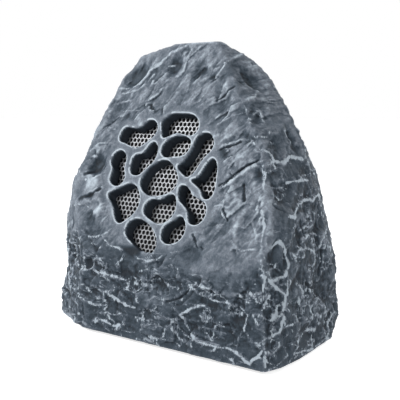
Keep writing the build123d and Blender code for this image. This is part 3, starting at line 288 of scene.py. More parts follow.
# What the rock's front shows, in the face's plane: millimetres right and up from the grille's middle.
# Pale painted ridges: width, strength, points.
front_veins = [
    (2.6, 0.8, [(-80, 98), (-62, 99), (-50, 106), (-40, 117), (-27, 125), (-17, 136), (0, 141)]),
    (1.6, 0.7, [(-74, 93), (-56, 95), (-44, 103), (-34, 114)]),
    (2.4, 0.6, [(-82, 80), (-71, 84), (-60, 84)]),
    (1.0, 0.7, [(-68, 73), (-45, 74)]),
    (2.4, 0.5, [(-97, 44), (-84, 55), (-70, 52)]),
    (2.0, 0.5, [(-100, 27), (-90, 36), (-76, 38)]),
    (2.2, 0.8, [(-30, -40), (-42, -47), (-52, -56), (-62, -60), (-78, -62)]),
    (1.6, 0.9, [(-60, -58), (-47, -67), (-30, -70), (-16, -68)]),
    (1.6, 0.9, [(-20, -70), (-4, -76), (9, -77), (16, -68)]),
    (1.4, 0.9, [(9, -77), (20, -75), (27, -70)]),
    (2.2, 1.0, [(-66, -96), (-52, -96), (-36, -98), (-17, -100)]),
    (1.4, 0.9, [(-82, -98), (-72, -96), (-66, -92), (-68, -86), (-62, -83), (-46, -81)]),
    (1.2, 0.7, [(-12, -112), (0, -109), (8, -103)]),
    (2.6, 1.0, [(-44, -114), (-32, -119), (-18, -122), (-6, -124)]),
    (1.6, 0.9, [(-84, -124), (-70, -128), (-58, -130), (-46, -127)]),
    (3.0, 0.8, [(-58, -146), (-50, -142), (-36, -146), (-24, -144)]),
    (1.7, 1.0, [(80, -108), (66, -113), (53, -121), (60, -131), (70, -141), (84, -143)]),
    (1.7, 1.0, [(84, -143), (104, -141), (122, -144)]),
    (2.2, 1.0, [(104, -141), (120, -145), (132, -151), (140, -142), (147, -134)]),
    (1.6, 0.9, [(58, -92), (72, -99), (88, -103), (104, -102), (118, -104)]),
    (1.3, 0.8, [(28, -68), (42, -65), (56, -59)]),
    (1.6, 0.8, [(102, -48), (114, -56), (128, -52)]),
    (2.0, 0.9, [(118, -104), (127, -110), (124, -122), (130, -128)]),
    (1.8, 0.8, [(64, 36), (76, 42), (90, 47), (100, 47), (108, 40)]),
    (2.2, 0.9, [(74, -5), (86, 5), (99, 15), (110, 23), (118, 20), (122, 10)]),
    (1.2, 0.8, [(62, -28), (72, -20), (82, -16), (92, -18)]),
    (1.4, 0.8, [(-112, 8), (-100, -2), (-88, -4), (-78, 4)]),
    (1.6, 0.8, [(-118, -26), (-104, -32), (-92, -28), (-82, -34)]),
    (1.4, 0.7, [(-108, -58), (-96, -54), (-84, -58)]),
    (1.8, 0.7, [(40, 104), (50, 112), (56, 124)]),
    (1.6, 0.5, [(60, 60), (72, 68), (84, 73)]),
]
# Where the front meets the right side.
corner_bend = (122, 20)
above_bend = [(40, 139), (52, 128), (66, 115), (76, 100), (86, 80), (97, 60), (106, 44), (116, 30)]
below_bend = [(126, 2), (127, -18), (132, -36), (137, -58), (142, -80), (146, -100), (148, -150)]
corner_veins = [
    (1.8, 0.8, [*above_bend, corner_bend]),
    (2.8, 1.0, [corner_bend, *below_bend]),
    (1.8, 0.9, [(126, 2), (121, -12), (119, -30), (128, -44), (134, -52)]),
    (1.6, 0.9, [(137, -58), (130, -66), (128, -78), (136, -88), (142, -94)]),
]
# Cracks, darkened with painted shade: width, depth, points.
front_cracks = [
    (1.3, 2.2, [(76, 1), (88, 11), (98, 19), (112, 27)]),
    (1.2, 1.4, [(68, 36), (78, 40), (88, 44)]),
    (1.8, 1.6, [(101, 4), (104, -4), (106, -10)]),
    (1.4, 1.4, [(86, -20), (92, -30)]),
    (1.4, 1.6, [(57, -47), (64, -57)]),
    (1.6, 1.2, [(52, 84), (62, 92), (70, 98)]),
    (1.8, 1.6, [(36, -112), (48, -108), (60, -98)]),
    (2.6, 1.6, [(-98, -25), (-86, -20), (-74, -12)]),
    (2.2, 1.4, [(-100, 2), (-90, 7), (-82, 15)]),
]
# Smooth swellings and dents: right, up, radius, height.
front_swells = [
    (-98, -8, 24, 4.0),
    (-82, -40, 20, 3.0),
    (-88, -8, 9, 2.5),
    (-72, -31, 8, 2.5),
    (-85, -20, 6, -3.0),
    (-78, -44, 7, -3.0),
    (-92, 7, 6, -2.5),
    (-112, -48, 22, 3.0),
    (-84, 14, 12, -3.0),
    (-66, -58, 12, -2.0),
    (-96, 36, 18, 2.5),
    (-92, 62, 18, 2.0),
    (-60, 116, 15, -2.5),
    (-70, -88, 6, -2.5),
    (22, -110, 26, 2.5),
    (-6, -96, 30, -2.0),
    (82, -124, 22, -3.0),
    (120, -118, 14, -2.0),
    (100, 32, 14, 1.5),
    (118, 15, 8, -3.5),
    (-10, 122, 9, -2.5),
    (24, 118, 8, -3.0),
    (42, 109, 5, -2.0),
    (60, -60, 11, -2.0),
    (30, 96, 24, 1.5),
]
# How light the paint is, with painted shade in the dents and painted highlights on the swellings listed
# above: right, up, width, height, tone from -1, dark, to 1, pale.
front_tones_and_shade = [
    (-60, 116, 20, 11, -0.8),
    (-85, 18, 14, 10, -0.6),
    (-77, -44, 12, 6, -1.3),
    (-84, -20, 15, 4, -1.3),
    (-92, 6, 12, 5, -1.0),
    (-104, 14, 8, 9, -0.8),
    (-76, -32, 18, 4, 1.1),
    (-56, -42, 5, 10, 0.8),
    (-88, -8, 12, 5, 0.9),
    (-96, 62, 10, 20, -0.4),
    (-12, 124, 9, 12, -0.7),
    (24, 118, 8, 5, -0.9),
    (42, 108, 4, 7, -0.8),
    (118, 14, 8, 8, -1.0),
    (60, -60, 9, 9, -0.6),
    (-70, -88, 6, 5, -1.0),
    (-20, -92, 40, 10, -0.5),
    (84, -124, 20, 12, -0.8),
    (122, -120, 10, 14, -0.7),
    (58, 116, 6, 8, -1.0),
    (72, 98, 6, 8, -0.9),
    (86, 74, 5, 10, -0.7),
    (126, -14, 7, 12, 0.8),
    (132, -62, 6, 12, 0.7),
    (6, 100, 30, 8, -0.25),
    (40, 76, 24, 6, -0.35),
    (16, 128, 22, 10, 0.5),
    (44, 92, 22, 10, 0.35),
    (76, 50, 18, 18, 0.35),
    (92, 32, 16, 8, 0.4),
    (100, -12, 18, 20, 0.4),
    (-86, -8, 14, 8, 0.5),
    (-92, 48, 14, 8, 0.6),
    (-86, -60, 20, 4, 0.6),
    (22, -110, 24, 6, 0.9),
    (58, -84, 14, 14, 0.35),
    (121, -36, 8, 14, 0.7),
]
# What the right side shows, looked at squarely: millimetres back from the middle and up from the floor.
side_veins = [
    (2.2, 0.9, [(-62, 178), (-50, 181), (-36, 180), (-26, 185), (-14, 184), (-7, 181), (0, 190)]),
    (1.4, 0.9, [(-56, 193), (-45, 181)]),
    (1.3, 0.9, [(-40, 162), (-30, 163), (-4, 162)]),
    (1.6, 1.0, [(-56, 134), (-45, 131), (-30, 141), (-12, 144), (0, 142), (13, 146), (34, 143), (60, 138)]),
    (1.2, 0.9, [(-36, 101), (-16, 99), (-6, 94), (6, 88)]),
    (2.0, 1.0, [(-84, 80), (-66, 84), (-57, 92), (-60, 102), (-70, 113), (-78, 108)]),
    (2.0, 1.0, [(-86, 82), (-78, 74), (-68, 65), (-60, 77)]),
    (1.9, 0.9, [(-69, 64), (-74, 50), (-80, 36), (-90, 34)]),
    (1.3, 0.8, [(-72, 39), (-58, 38)]),
    (1.7, 0.9, [(-60, 10), (-46, 19), (-30, 24), (-12, 23)]),
    (1.5, 0.9, [(-56, 11), (-40, 9), (-20, 5), (-2, 7), (16, 12), (20, 22), (34, 28)]),
    (1.4, 0.7, [(-20, 84), (-10, 82), (2, 85)]),
    (1.8, 0.8, [(10, 96), (18, 108), (30, 112)]),
    (1.4, 0.7, [(26, 56), (34, 62), (46, 56)]),
    (1.2, 0.8, [(-30, 118), (-20, 121), (-12, 119)]),
    (1.6, 0.8, [(-64, 205), (-44, 204), (-34, 210)]),
    (1.4, 0.8, [(-40, 236), (-28, 240), (-18, 246)]),
    (1.6, 0.8, [(-34, 270), (-20, 276), (-10, 280)]),
    (1.4, 0.8, [(-36, 218), (-30, 225), (-38, 224)]),
]
side_cracks = [
    (1.8, 1.6, [(-30, 128), (-22, 112)]),
    (1.8, 2.0, [(-24, 68), (-14, 62), (-6, 60)]),
    (2.4, 2.0, [(8, 70), (14, 92)]),
]
side_swells = [
    (-68, 96, 11, -4.5),
    (-50, 120, 14, 2.0),
    (-30, 14, 20, -3.0),
    (-88, 58, 12, -3.0),
    (16, 104, 9, 3.0),
    (28, 88, 9, 3.5),
    (30, 66, 9, 3.0),
    (12, 120, 10, -2.5),
    (2, 72, 12, -2.0),
    (-14, 172, 16, -3.0),
    (-30, 152, 14, -2.0),
    (-20, 255, 12, -3.0),
    (-10, 272, 10, 2.0),
    (20, 100, 26, 1.5),
]
# How light the paint is on the right side, with painted shade in its dents and painted highlights on its
# swellings
side_tones_and_shade = [
    (-42, 150, 16, 12, -0.9),
    (-18, 172, 18, 8, -0.9),
    (-68, 96, 9, 11, -1.0),
    (-28, 15, 20, 6, -0.8),
    (-88, 66, 8, 8, -0.8),
    (-92, 46, 8, 8, -0.7),
    (-18, 258, 12, 9, -0.9),
    (-30, 230, 12, 10, -0.6),
    (6, 66, 10, 16, -0.5),
    (-62, 132, 5, 24, 0.4),
    (-74, 150, 7, 22, 0.5),
    (-50, 214, 10, 16, -1.0),
    (-60, 176, 9, 13, -0.8),
    (-46, 98, 8, 16, 0.45),
    (-28, 76, 8, 10, 0.35),
    (26, 92, 8, 14, 0.5),
    (-8, 236, 6, 30, 0.5),
    (-18, 200, 10, 14, 0.4),
]
# Height of the line above which the front's paint is lighter, from left to right.
band_top = [(-140, -58), (-60, -60), (0, -74), (40, -68), (80, -82), (110, -92), (140, -60)]
notch_middle = np.array([-146, -66, 54])  # the bite out of the left front corner
left_toe = np.array([-132, -88, 18])  # and the swelling below it


def seen_from(normals, direction):
    """How squarely each place faces a direction, from 0 to 1."""
    return smoothstep(0.05, 0.5, normals @ np.array(direction, float))


def traced(spots, veins, thick):
    """How far each spot is from the edge of the nearest listed ridge, with faint ridges further off."""
    nearest = np.full(len(spots), 99.0)
    for width, strength, line in veins:
        nearest = np.minimum(nearest, to_line(spots, line) - vein_width * width * thick + 2 * (1 - strength))
    return nearest


def tones_and_shade(spots, tones):
    """The sum of soft light and dark patches: the paint's own tone, painted shade and painted highlights."""
    total = np.zeros(len(spots))
    for across, up, wide, tall, tone in tones:
        away = ((spots[:, 0] - across) / wide) ** 2 + ((spots[:, 1] - up) / tall) ** 2
        total += tone * np.exp(-away)
    return total


def swollen(spots, swells):
    """The sum of smooth swellings and dents."""
    total = np.zeros(len(spots))
    for across, up, radius, amount in swells:
        away = np.linalg.norm(spots - (across, up), axis=1) / radius
        total += amount * np.exp(-(away**2.6))
    return total


def faults(field, width):
    """A jump where a field crosses zero, which dies away on both sides."""
    return np.sign(field) * np.exp(-np.abs(field) / width)


def leaning(points, size, seed):
    """Cells whose surfaces each lean their own way, and the distance to the nearest border."""
    border, offset, number = cells(points, size, seed)
    return (directions[number & 255] * offset).sum(1), border


def gap_to(rims, places, close):
    """Each close place's distance to the nearest point of the rims."""
    tree = kdtree.KDTree(len(rims))
    for index, rim in enumerate(rims):
        tree.insert(rim, index)
    tree.balance()
    gap = np.full(len(places), 999.0)
    gap[close] = [tree.find(Vector(place))[2] for place in places[close]]
    return gap


class Skin:
    """The rock's outside and what is about its openings: where each place lies, and its kinds from 0 to 1."""

    def __init__(self, every, normals):
        planes, rims = read_rock()
        depth, to_next = np.sort([reach - every @ normal for normal, reach in planes], axis=0)[:2]
        spots, height = on_face(every)
        by_openings = (np.abs(spots) < 90).all(1) & (height > -12)
        self.worked = np.flatnonzero((depth < 6.5) | by_openings)
        self.number = len(every)
        self.places, self.normals = every[self.worked], normals[self.worked]
        self.depth, to_next = depth[self.worked], to_next[self.worked]
        self.spots, self.height = on_face(self.places)
        close = (np.abs(self.spots) < 100).all(1) & (self.height > -30)
        self.rim_gap = gap_to(rims, self.places, close)
        self.sort_kinds(to_next)
        self.wander = 1.6 * np.stack([waves(self.places, 9, seed, 3, 0.6) for seed in (65, 69)], 1)
        self.on_front, self.on_side = self.spots + self.wander, self.places[:, 1:] + self.wander
        self.thick = np.clip(1 + 1.3 * waves(self.places, 8, 71, 2), 0.25, 2.2)

    def sort_kinds(self, to_next):
        """How much of each kind of surface each place is."""
        places, normals, spots = self.places, self.normals, self.spots
        reach = np.interp(places[:, 2], (11, 15), (2.8, 5.2))  # the wall is thinner below the base's ledge
        self.outside = smoothstep(reach + 1.2, reach, self.depth)
        self.arris = smoothstep(9, 2, to_next)  # near an edge between two facets
        self.flat = smoothstep(11, 4, self.rim_gap)  # the webs and their surroundings
        self.uneven = 1 - self.flat
        self.front = seen_from(normals, face_normal)
        self.right = seen_from(normals, (1, -0.25, 0.15)) * (1 - 0.5 * self.front)
        self.top = smoothstep(0.55, 0.9, normals[:, 2])
        band = np.interp(spots[:, 0], [x for x, _ in band_top], [y for _, y in band_top])
        self.above_band = smoothstep(-9, 13, spots[:, 1] - band + 15.4 * waves(places, 26, 3, 3))
        brushed = np.clip(self.front * self.above_band + 0.4 * self.top, 0, 1)
        self.calm = brushed * (1 - 0.85 * self.right * (1 - self.front))
        self.rugged = (1 - self.calm) * (1 - 0.5 * self.right)
        self.by_corner = smoothstep(-30, -45, places[:, 1])
        corner_line = [*above_bend, corner_bend, *below_bend]
        self.corner_zone = np.exp(-((to_line(spots, corner_line) / 11) ** 2)) * self.by_corner

    def spread(self, values, elsewhere):
        """The values for all the rock's vertices, with one value for the rest."""
        full = np.full(self.number, float(elsewhere))
        full[self.worked] = values
        return full


def opened(skin):
    """The shifts that widen the openings in front and make their walls lean and reach back to the grille."""
    beside = np.sqrt(np.maximum(skin.rim_gap**2 - skin.height**2, 0))
    towards = skin.normals @ face_normal
    below = np.clip(-skin.height, 0, 8) * smoothstep(14, 8, beside) * smoothstep(0.75, 0.45, towards)
    lean_back = wall_lean[0] * np.array([1, 0, 0]) + wall_lean[1] * face_up - wall_stretch * face_normal
    wall = smoothstep(3.0, 1.2, beside) * smoothstep(-7.5, -6.0, skin.height)
    outwards = skin.normals - towards[:, None] * face_normal
    return below[:, None] * lean_back - rim_widening * wall[:, None] * outwards


def chips(skin):
    """The rugged areas' relief: chips of three sizes that meet in ridges, and furrows."""
    places, rugged = skin.places, skin.rugged
    lean, border = leaning(warped(places, 6, 24, 31), 34, 5)
    relief = (0.07 * lean - 0.3 * smoothstep(3, 0, border)) * (0.15 + 0.85 * rugged)
    lean, _ = leaning(warped(places, 2.5, 9, 41), 13, 6)
    relief += 0.10 * lean * (0.2 + 0.8 * rugged)
    lean, _ = leaning(warped(places * (1, 1, 1.5), 1.5, 5, 43), 6.5, 7)
    relief += 0.06 * lean * rugged
    furrows = waves(warped(places * (0.5, 0.5, 1.3), 4, 16, 53), 13, 54, 3, 0.55)
    relief += 1.3 * (0.5 - 2 * np.abs(furrows)) * rugged
    return relief + 0.8 * waves(places, 20, 45, 4, 0.5)


def slanting(skin):
    """The calm areas' slanting dents, short faults and facets."""
    slant = radians(50)
    lengthwise, crosswise = np.array([cos(slant), sin(slant)]), np.array([-sin(slant), cos(slant)])
    streaks = np.column_stack([skin.spots @ lengthwise / 2.4, skin.spots @ crosswise, 0.4 * skin.height])
    dents = waves(warped(streaks, 3.0, 14, 51), 11, 52, 4, 0.6)
    tears = wave(warped(streaks, 3.5, 10, 55), 17, 56)
    torn = faults(tears, 0.20) * smoothstep(0.10, 0.45, waves(skin.places, 22, 57, 2))
    lean, _ = leaning(warped(streaks, 3, 9, 58), 15, 59)
    return dents, torn, 0.08 * lean


def cracks_of(skin):
    """How much painted shade darkens the listed cracks, from 0 to 1, and how deep they cut."""
    dark, deep = np.zeros(len(skin.places)), np.zeros(len(skin.places))
    sides = ((skin.front, skin.on_front, front_cracks), (skin.right, skin.on_side, side_cracks))
    for facing, spots, cracks in sides:
        for width, amount, line in cracks:
            crack = smoothstep(width, 0.2, to_line(spots, line) / skin.thick) * facing
            deep += amount * crack * skin.uneven
            dark = np.maximum(dark, crack)
    return dark, deep


def placed_bumps(skin):
    """The listed relief: swellings, the worn right corner, the left corner's bite and toe."""
    relief = swollen(skin.on_front, front_swells) * skin.front * skin.uneven
    relief += swollen(skin.on_side, side_swells) * skin.right
    relief -= skin.corner_zone * (0.6 + 3.2 * smoothstep(-0.1, 0.5, waves(skin.places, 22, 107, 2)))
    notch = np.linalg.norm((skin.places - notch_middle) * (1, 0.5, 1), axis=1)
    relief -= 4.0 * smoothstep(26, 2, notch)
    toe = np.linalg.norm((skin.places - left_toe) * (1, 0.8, 1.2), axis=1)
    relief += 3.2 * np.exp(-((toe / 34) ** 2))
    return relief + 1.6 * skin.top * smoothstep(255, 280, skin.places[:, 2])


def veins_of(skin):
    """How far each place is from the edge of the nearest pale ridge, listed or drawn from noise."""
    places, thick, flat, front, right = skin.places, skin.thick, skin.flat, skin.front, skin.right
    placed = traced(skin.on_front, front_veins, thick) + out_of_reach * (1 - front)
    corner = traced(skin.spots + 2.4 * skin.wander, corner_veins, thick)
    corner += 2 * smoothstep(-0.1, 0.4, waves(places, 12, 109, 2))
    placed = np.minimum(placed, corner + out_of_reach * (1 - np.maximum(front, right) * skin.by_corner))
    side = traced(skin.on_side, side_veins, thick) - 0.5
    placed = np.minimum(placed, side + out_of_reach * (1 - smoothstep(0, 0.6, right)))

    # a net where none is listed, twigs wherever the paint is dark, and strokes along the front
    hand_placed = np.maximum(front, right)
    border, _, _ = cells(warped(places, 8, 18, 81), 44, 8)
    net = border / 2 - 0.8 * thick + out_of_reach * hand_placed
    net += 4 * smoothstep(0.2, -0.2, waves(places, 34, 83, 2))
    border, _, _ = cells(warped(places * (0.75, 0.75, 1.4), 5, 10, 85), 17, 9)
    sparse = 4 * smoothstep(0.02, -0.28, waves(places, 16, 87, 2)) + 5 * skin.calm
    twigs = border / 2 - (0.15 + 0.3 * hand_placed) * thick + sparse * (1 - skin.corner_zone)
    level = wave(warped(places * (0.38, 0.38, 1.2), 3.5, 9, 101), 11, 102)
    strokes = 6 * np.abs(level) - 0.4 * thick + 4 * smoothstep(0.12, -0.18, waves(places, 15, 103, 2))
    strokes += 5 * skin.calm + 5 * right + 4 * (1 - front)
    drawn = np.minimum(np.minimum(net, twigs), strokes)
    gaps = smoothstep(0.15, 0.5, waves(places, 6, 89, 2))
    return np.minimum(placed + 2 * flat + 1.2 * gaps, drawn + 3 * flat + 2.5 * gaps)


def raised(skin, relief, lowest, highest):
    """The places with the relief and the openings' shifts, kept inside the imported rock's box."""
    rim_line = np.exp(-(((skin.rim_gap - 1.2) / 1.2) ** 2)) * smoothstep(-2.2, -0.2, skin.height)
    relief = relief * smoothstep(0.5, 7, skin.rim_gap) + 0.45 * rim_line

    # where a side lies flush with the rock's box there is no room outside it, so the relief goes inwards
    room = np.minimum(skin.places - lowest, highest - skin.places)[:, :2].min(1)
    relief -= 1.8 * smoothstep(3, 0, room)

    # the wall stays whole under the shell's own hollows, and the foot stays where it is
    low = smoothstep(24, 10, skin.places[:, 2])
    deepest = np.minimum(-deepest_relief + 2.6 * low + skin.depth, -0.3)
    relief = np.clip(relief, deepest, highest_relief)
    shift = (relief * skin.outside)[:, None] * skin.normals + opened(skin)
    shift[:, 2] *= smoothstep(2.6, 9, skin.places[:, 2])
    return np.clip(skin.places + shift, lowest + 0.02, highest - 0.02)


def brushed_and_shaded(near, moved, facing):
    """How much lighter each place is from its form alone: proud places get more dry-brushed paint, and
    hollows get painted shade.
    """
    rounds = 1 if voxel > 1.5 else 2.4  # a finer mesh takes more rounds to smooth as widely
    fine = near.smooth(moved, round(3 * rounds))
    middle = near.smooth(fine, round(9 * rounds))
    broad = near.smooth(middle, round(30 * rounds))
    steps = ((moved, fine), (fine, middle), (middle, broad))
    proud = [((sharper - softer) * facing).sum(1) for sharper, softer in steps]
    return 0.7 * proud[0] + 0.45 * proud[1], 0.05 * proud[2]


def rock_piece():
    """The cast rock with its relief and the values that its paint follows."""
    rock = remeshed("painted_rock", "rock_shell", voxel)
    mesh = rock.data
    near = Neighbours(read(mesh.edges, "vertices", 2, np.int32), len(mesh.vertices))
    every = near.smooth(read(mesh.vertices, "co", 3) / MM, 2, 0.4)
    place_vertices(mesh, every)
    normals = near.smooth(read(mesh.vertices, "normal", 3).astype(float), 6, 0.6)
    normals /= np.linalg.norm(normals, axis=1)[:, None].clip(1e-6)

    # only the outside and what is about the openings gets relief: the inside stays as it is
    skin = Skin(every, normals)
    places, calm, flat, rim_gap = skin.places, skin.calm, skin.flat, skin.rim_gap
    dents, torn, facets = slanting(skin)
    combed = waves(warped(places * (0.1, 1, 0.22), 3, 16, 61), 4.2, 62, 3, 0.6)  # brushed down the right side
    relief = chips(skin) + (1.7 * dents + 1.1 * torn + facets) * calm + 0.45 * combed * skin.right
    relief = relief * skin.uneven + placed_bumps(skin)
    crack_shade, cut = cracks_of(skin)
    veins = veins_of(skin)
    relief += 0.8 * smoothstep(1.4, -0.3, veins) * skin.uneven - cut
    relief += 0.35 * waves(places, 4.5, 91, 2, 0.7) * (1 - 0.5 * flat)
    lowest, highest = (np.array(corner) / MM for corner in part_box("rock_shell"))
    moved = raised(skin, relief, lowest, highest)
    every[skin.worked] = moved
    place_vertices(mesh, every)

    # how light the paint is, with painted shade and painted highlights that follow the form
    facing = read(mesh.vertices, "normal", 3).astype(float)[skin.worked]
    proud, proud_broad = brushed_and_shaded(near.among(skin.worked), moved, facing)
    paint_and_shade = 0.22 + 0.30 * calm + 0.03 * skin.front * (1 - skin.above_band)
    paint_and_shade += 0.02 * skin.right * (1 - skin.front)
    paint_and_shade += 0.17 * tones_and_shade(skin.on_front, front_tones_and_shade) * skin.front
    paint_and_shade += 0.17 * tones_and_shade(skin.on_side, side_tones_and_shade) * skin.right
    # proud places lighter, as dry-brushed paint, and hollows darker, as painted shade
    paint_and_shade += (proud * (1 - 0.35 * calm) + proud_broad) * (1 - 0.7 * flat) * (1 - 0.65 * skin.arris)
    paint_and_shade += 0.06 * np.exp(-((rim_gap / 3) ** 2))
    # painted highlights on the dents' rises, and painted shade in their hollows and on the faults' low sides
    paint_and_shade += (0.12 * dents - 0.2 * np.clip(torn, -1, 0) ** 2) * calm * skin.uneven
    paint_and_shade += 0.05 * waves(places, 30, 95, 3) + 0.10 * combed * skin.right + 0.05 * waves(places, 6, 97, 3, 0.7)
    # painted shade: the openings' walls are painted almost black, and the cracks dark, where shade falls in
    # them
    opening_shade = smoothstep(-0.7, -2.0, skin.height) * smoothstep(15, 11, rim_gap)
    paint(mesh, "vein_gap", skin.spread(0.2 + veins / 5 + 0.8 * (1 - skin.outside), 1))
    paint(mesh, "rim_gap", skin.spread(rim_gap / 10 + smoothstep(-0.8, -1.6, skin.height), 1))
    paint(mesh, "paint_and_shade", skin.spread(paint_and_shade, 0.25))
    paint(mesh, "calm", skin.spread(calm, 0))
    paint(mesh, "painted_shade", skin.spread(np.maximum(crack_shade, opening_shade), 0))
    mesh.shade_smooth()
    return rock


# ------------------------------------------------------------------ honeycomb grille
def hexagon(x, y, flats):
    """The corners of a hexagon about a place, so wide across its flats."""
    reach = flats / 2 / cos(radians(30))
    turns = [radians(30 + 60 * k) for k in range(6)]
    return [(x + reach * cos(turn), y + reach * sin(turn)) for turn in turns]


def grille_piece():
    """A steel sheet with hexagonal holes in staggered rows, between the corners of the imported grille."""
    half = (grille_high[0] - grille_low[0]) / 2 - 0.2
    middle = (grille_low + grille_high) / 2
    row_rise = hole_pitch * cos(radians(30))
    vertices, faces, index = [], [], {}

    def vertex(across, up, out):
        key = (round(across, 3), round(up, 3), out)
        if key not in index:
            index[key] = len(vertices)
            place = middle + np.array([across, 0, 0]) + up * face_up
            vertices.append(tuple((place + out * grille_thickness / 2 * face_normal) * MM))
        return index[key]

    def cell(x, y):
        """One hexagon of the sheet round its hole: front, back and the hole's walls."""
        outer, inner = hexagon(x, y, hole_pitch), hexagon(x, y, hole_size)
        for k in range(6):
            n = (k + 1) % 6
            faces.append([vertex(*corner, 1) for corner in (outer[k], outer[n], inner[n], inner[k])])
            faces.append([vertex(*corner, -1) for corner in (inner[k], inner[n], outer[n], outer[k])])
            faces.append([vertex(*inner[i], out) for i, out in ((k, 1), (n, 1), (n, -1), (k, -1))])

    rows = int(half / row_rise) + 1
    for row in range(-rows, rows + 1):
        shift = hole_pitch / 2 if row % 2 else 0
        for column in range(-rows - 4, rows + 5):
            x, y = column * hole_pitch + shift, row * row_rise
            past = [max(abs(value) - (half - grille_corner), 0) for value in (x, y)]
            in_corner = past[0] ** 2 + past[1] ** 2 <= (grille_corner - grille_edge) ** 2
            if max(abs(x), abs(y)) <= half - grille_edge and in_corner:
                cell(x, y)
    mesh = bpy.data.meshes.new("honeycomb_grille")
    mesh.from_pydata(vertices, [], faces)
    mesh.update()
    return new_object("honeycomb_grille", mesh)


# ------------------------------------------------------------------ materials
class Shader:
    """A material's nodes, with short calls for the ones used here."""

    def __init__(self, name):
        self.material = bpy.data.materials.new(name)
        self.material.use_nodes = True
        self.tree = self.material.node_tree
        self.surface = self.tree.nodes["Principled BSDF"]
        self.coordinates = self.tree.nodes.new("ShaderNodeTexCoord").outputs["Object"]

    def node(self, kind, **settings):
        made = self.tree.nodes.new(kind)
        for name, value in settings.items():
            setattr(made, name, value)
        return made

    def link(self, value, socket):
        if isinstance(value, bpy.types.NodeSocket):
            self.tree.links.new(value, socket)
        else:
            socket.default_value = value

    def value(self, name):
        return self.node("ShaderNodeAttribute", attribute_name=name).outputs["Fac"]

    def noise(self, scale, detail=4, roughness=0.6, distortion=0.0, stretch=None):
        noise = self.node("ShaderNodeTexNoise")
        noise.inputs["Scale"].default_value = scale
        noise.inputs["Detail"].default_value = detail
        noise.inputs["Roughness"].default_value = roughness
        noise.inputs["Distortion"].default_value = distortion
        source = self.coordinates
        if stretch:
            mapping = self.node("ShaderNodeMapping")
            self.link(source, mapping.inputs["Vector"])
            mapping.inputs["Scale"].default_value = stretch
            source = mapping.outputs["Vector"]
        self.link(source, noise.inputs["Vector"])
        return noise.outputs["Fac"]

    def math(self, operation, one, two=0.0, three=0.0):
        made = self.node("ShaderNodeMath", operation=operation)
        self.link(one, made.inputs[0])
        self.link(two, made.inputs[1])
        self.link(three, made.inputs[2])
        return made.outputs[0]

    def varied(self, value, noise, amount):
        """The value, raised and lowered by a noise."""
        return self.math("MULTIPLY_ADD", self.math("SUBTRACT", noise, 0.5), amount, value)

    def step(self, value, low, high, to_low=0.0, to_high=1.0):
        """A smooth change from one level to another as the value goes from low to high."""
        made = self.node("ShaderNodeMapRange", interpolation_type="SMOOTHSTEP")
        self.link(value, made.inputs["Value"])
        made.inputs["From Min"].default_value = low
        made.inputs["From Max"].default_value = high
        made.inputs["To Min"].default_value = to_low
        made.inputs["To Max"].default_value = to_high
        return made.outputs["Result"]

    def mix(self, share, one, two):
        made = self.node("ShaderNodeMix", data_type="RGBA")
        self.link(share, made.inputs["Factor"])
        self.link(one, made.inputs[6])
        self.link(two, made.inputs[7])
        return made.outputs[2]

    def ramp(self, value, stops):
        made = self.node("ShaderNodeValToRGB")
        self.link(value, made.inputs["Fac"])
        points = made.color_ramp.elements
        while len(points) < len(stops):
            points.new(0.5)
        for point, (place, colour) in zip(points, stops):
            point.position = place
            point.color = (*colour, 1)
        return made.outputs["Color"]

    def bump(self, height, strength, distance, under=None):
        made = self.node("ShaderNodeBump")
        made.inputs["Strength"].default_value = strength
        made.inputs["Distance"].default_value = distance
        self.link(height, made.inputs["Height"])
        if under is not None:
            self.link(under, made.inputs["Normal"])
        return made.outputs["Normal"]

    def finish(self, colour, roughness, normal=None, metallic=0.0):
        self.link(colour, self.surface.inputs["Base Color"])
        self.link(roughness, self.surface.inputs["Roughness"])
        self.surface.inputs["Metallic"].default_value = metallic
        if normal is not None:
            self.link(normal, self.surface.inputs["Normal"])
        return self.material


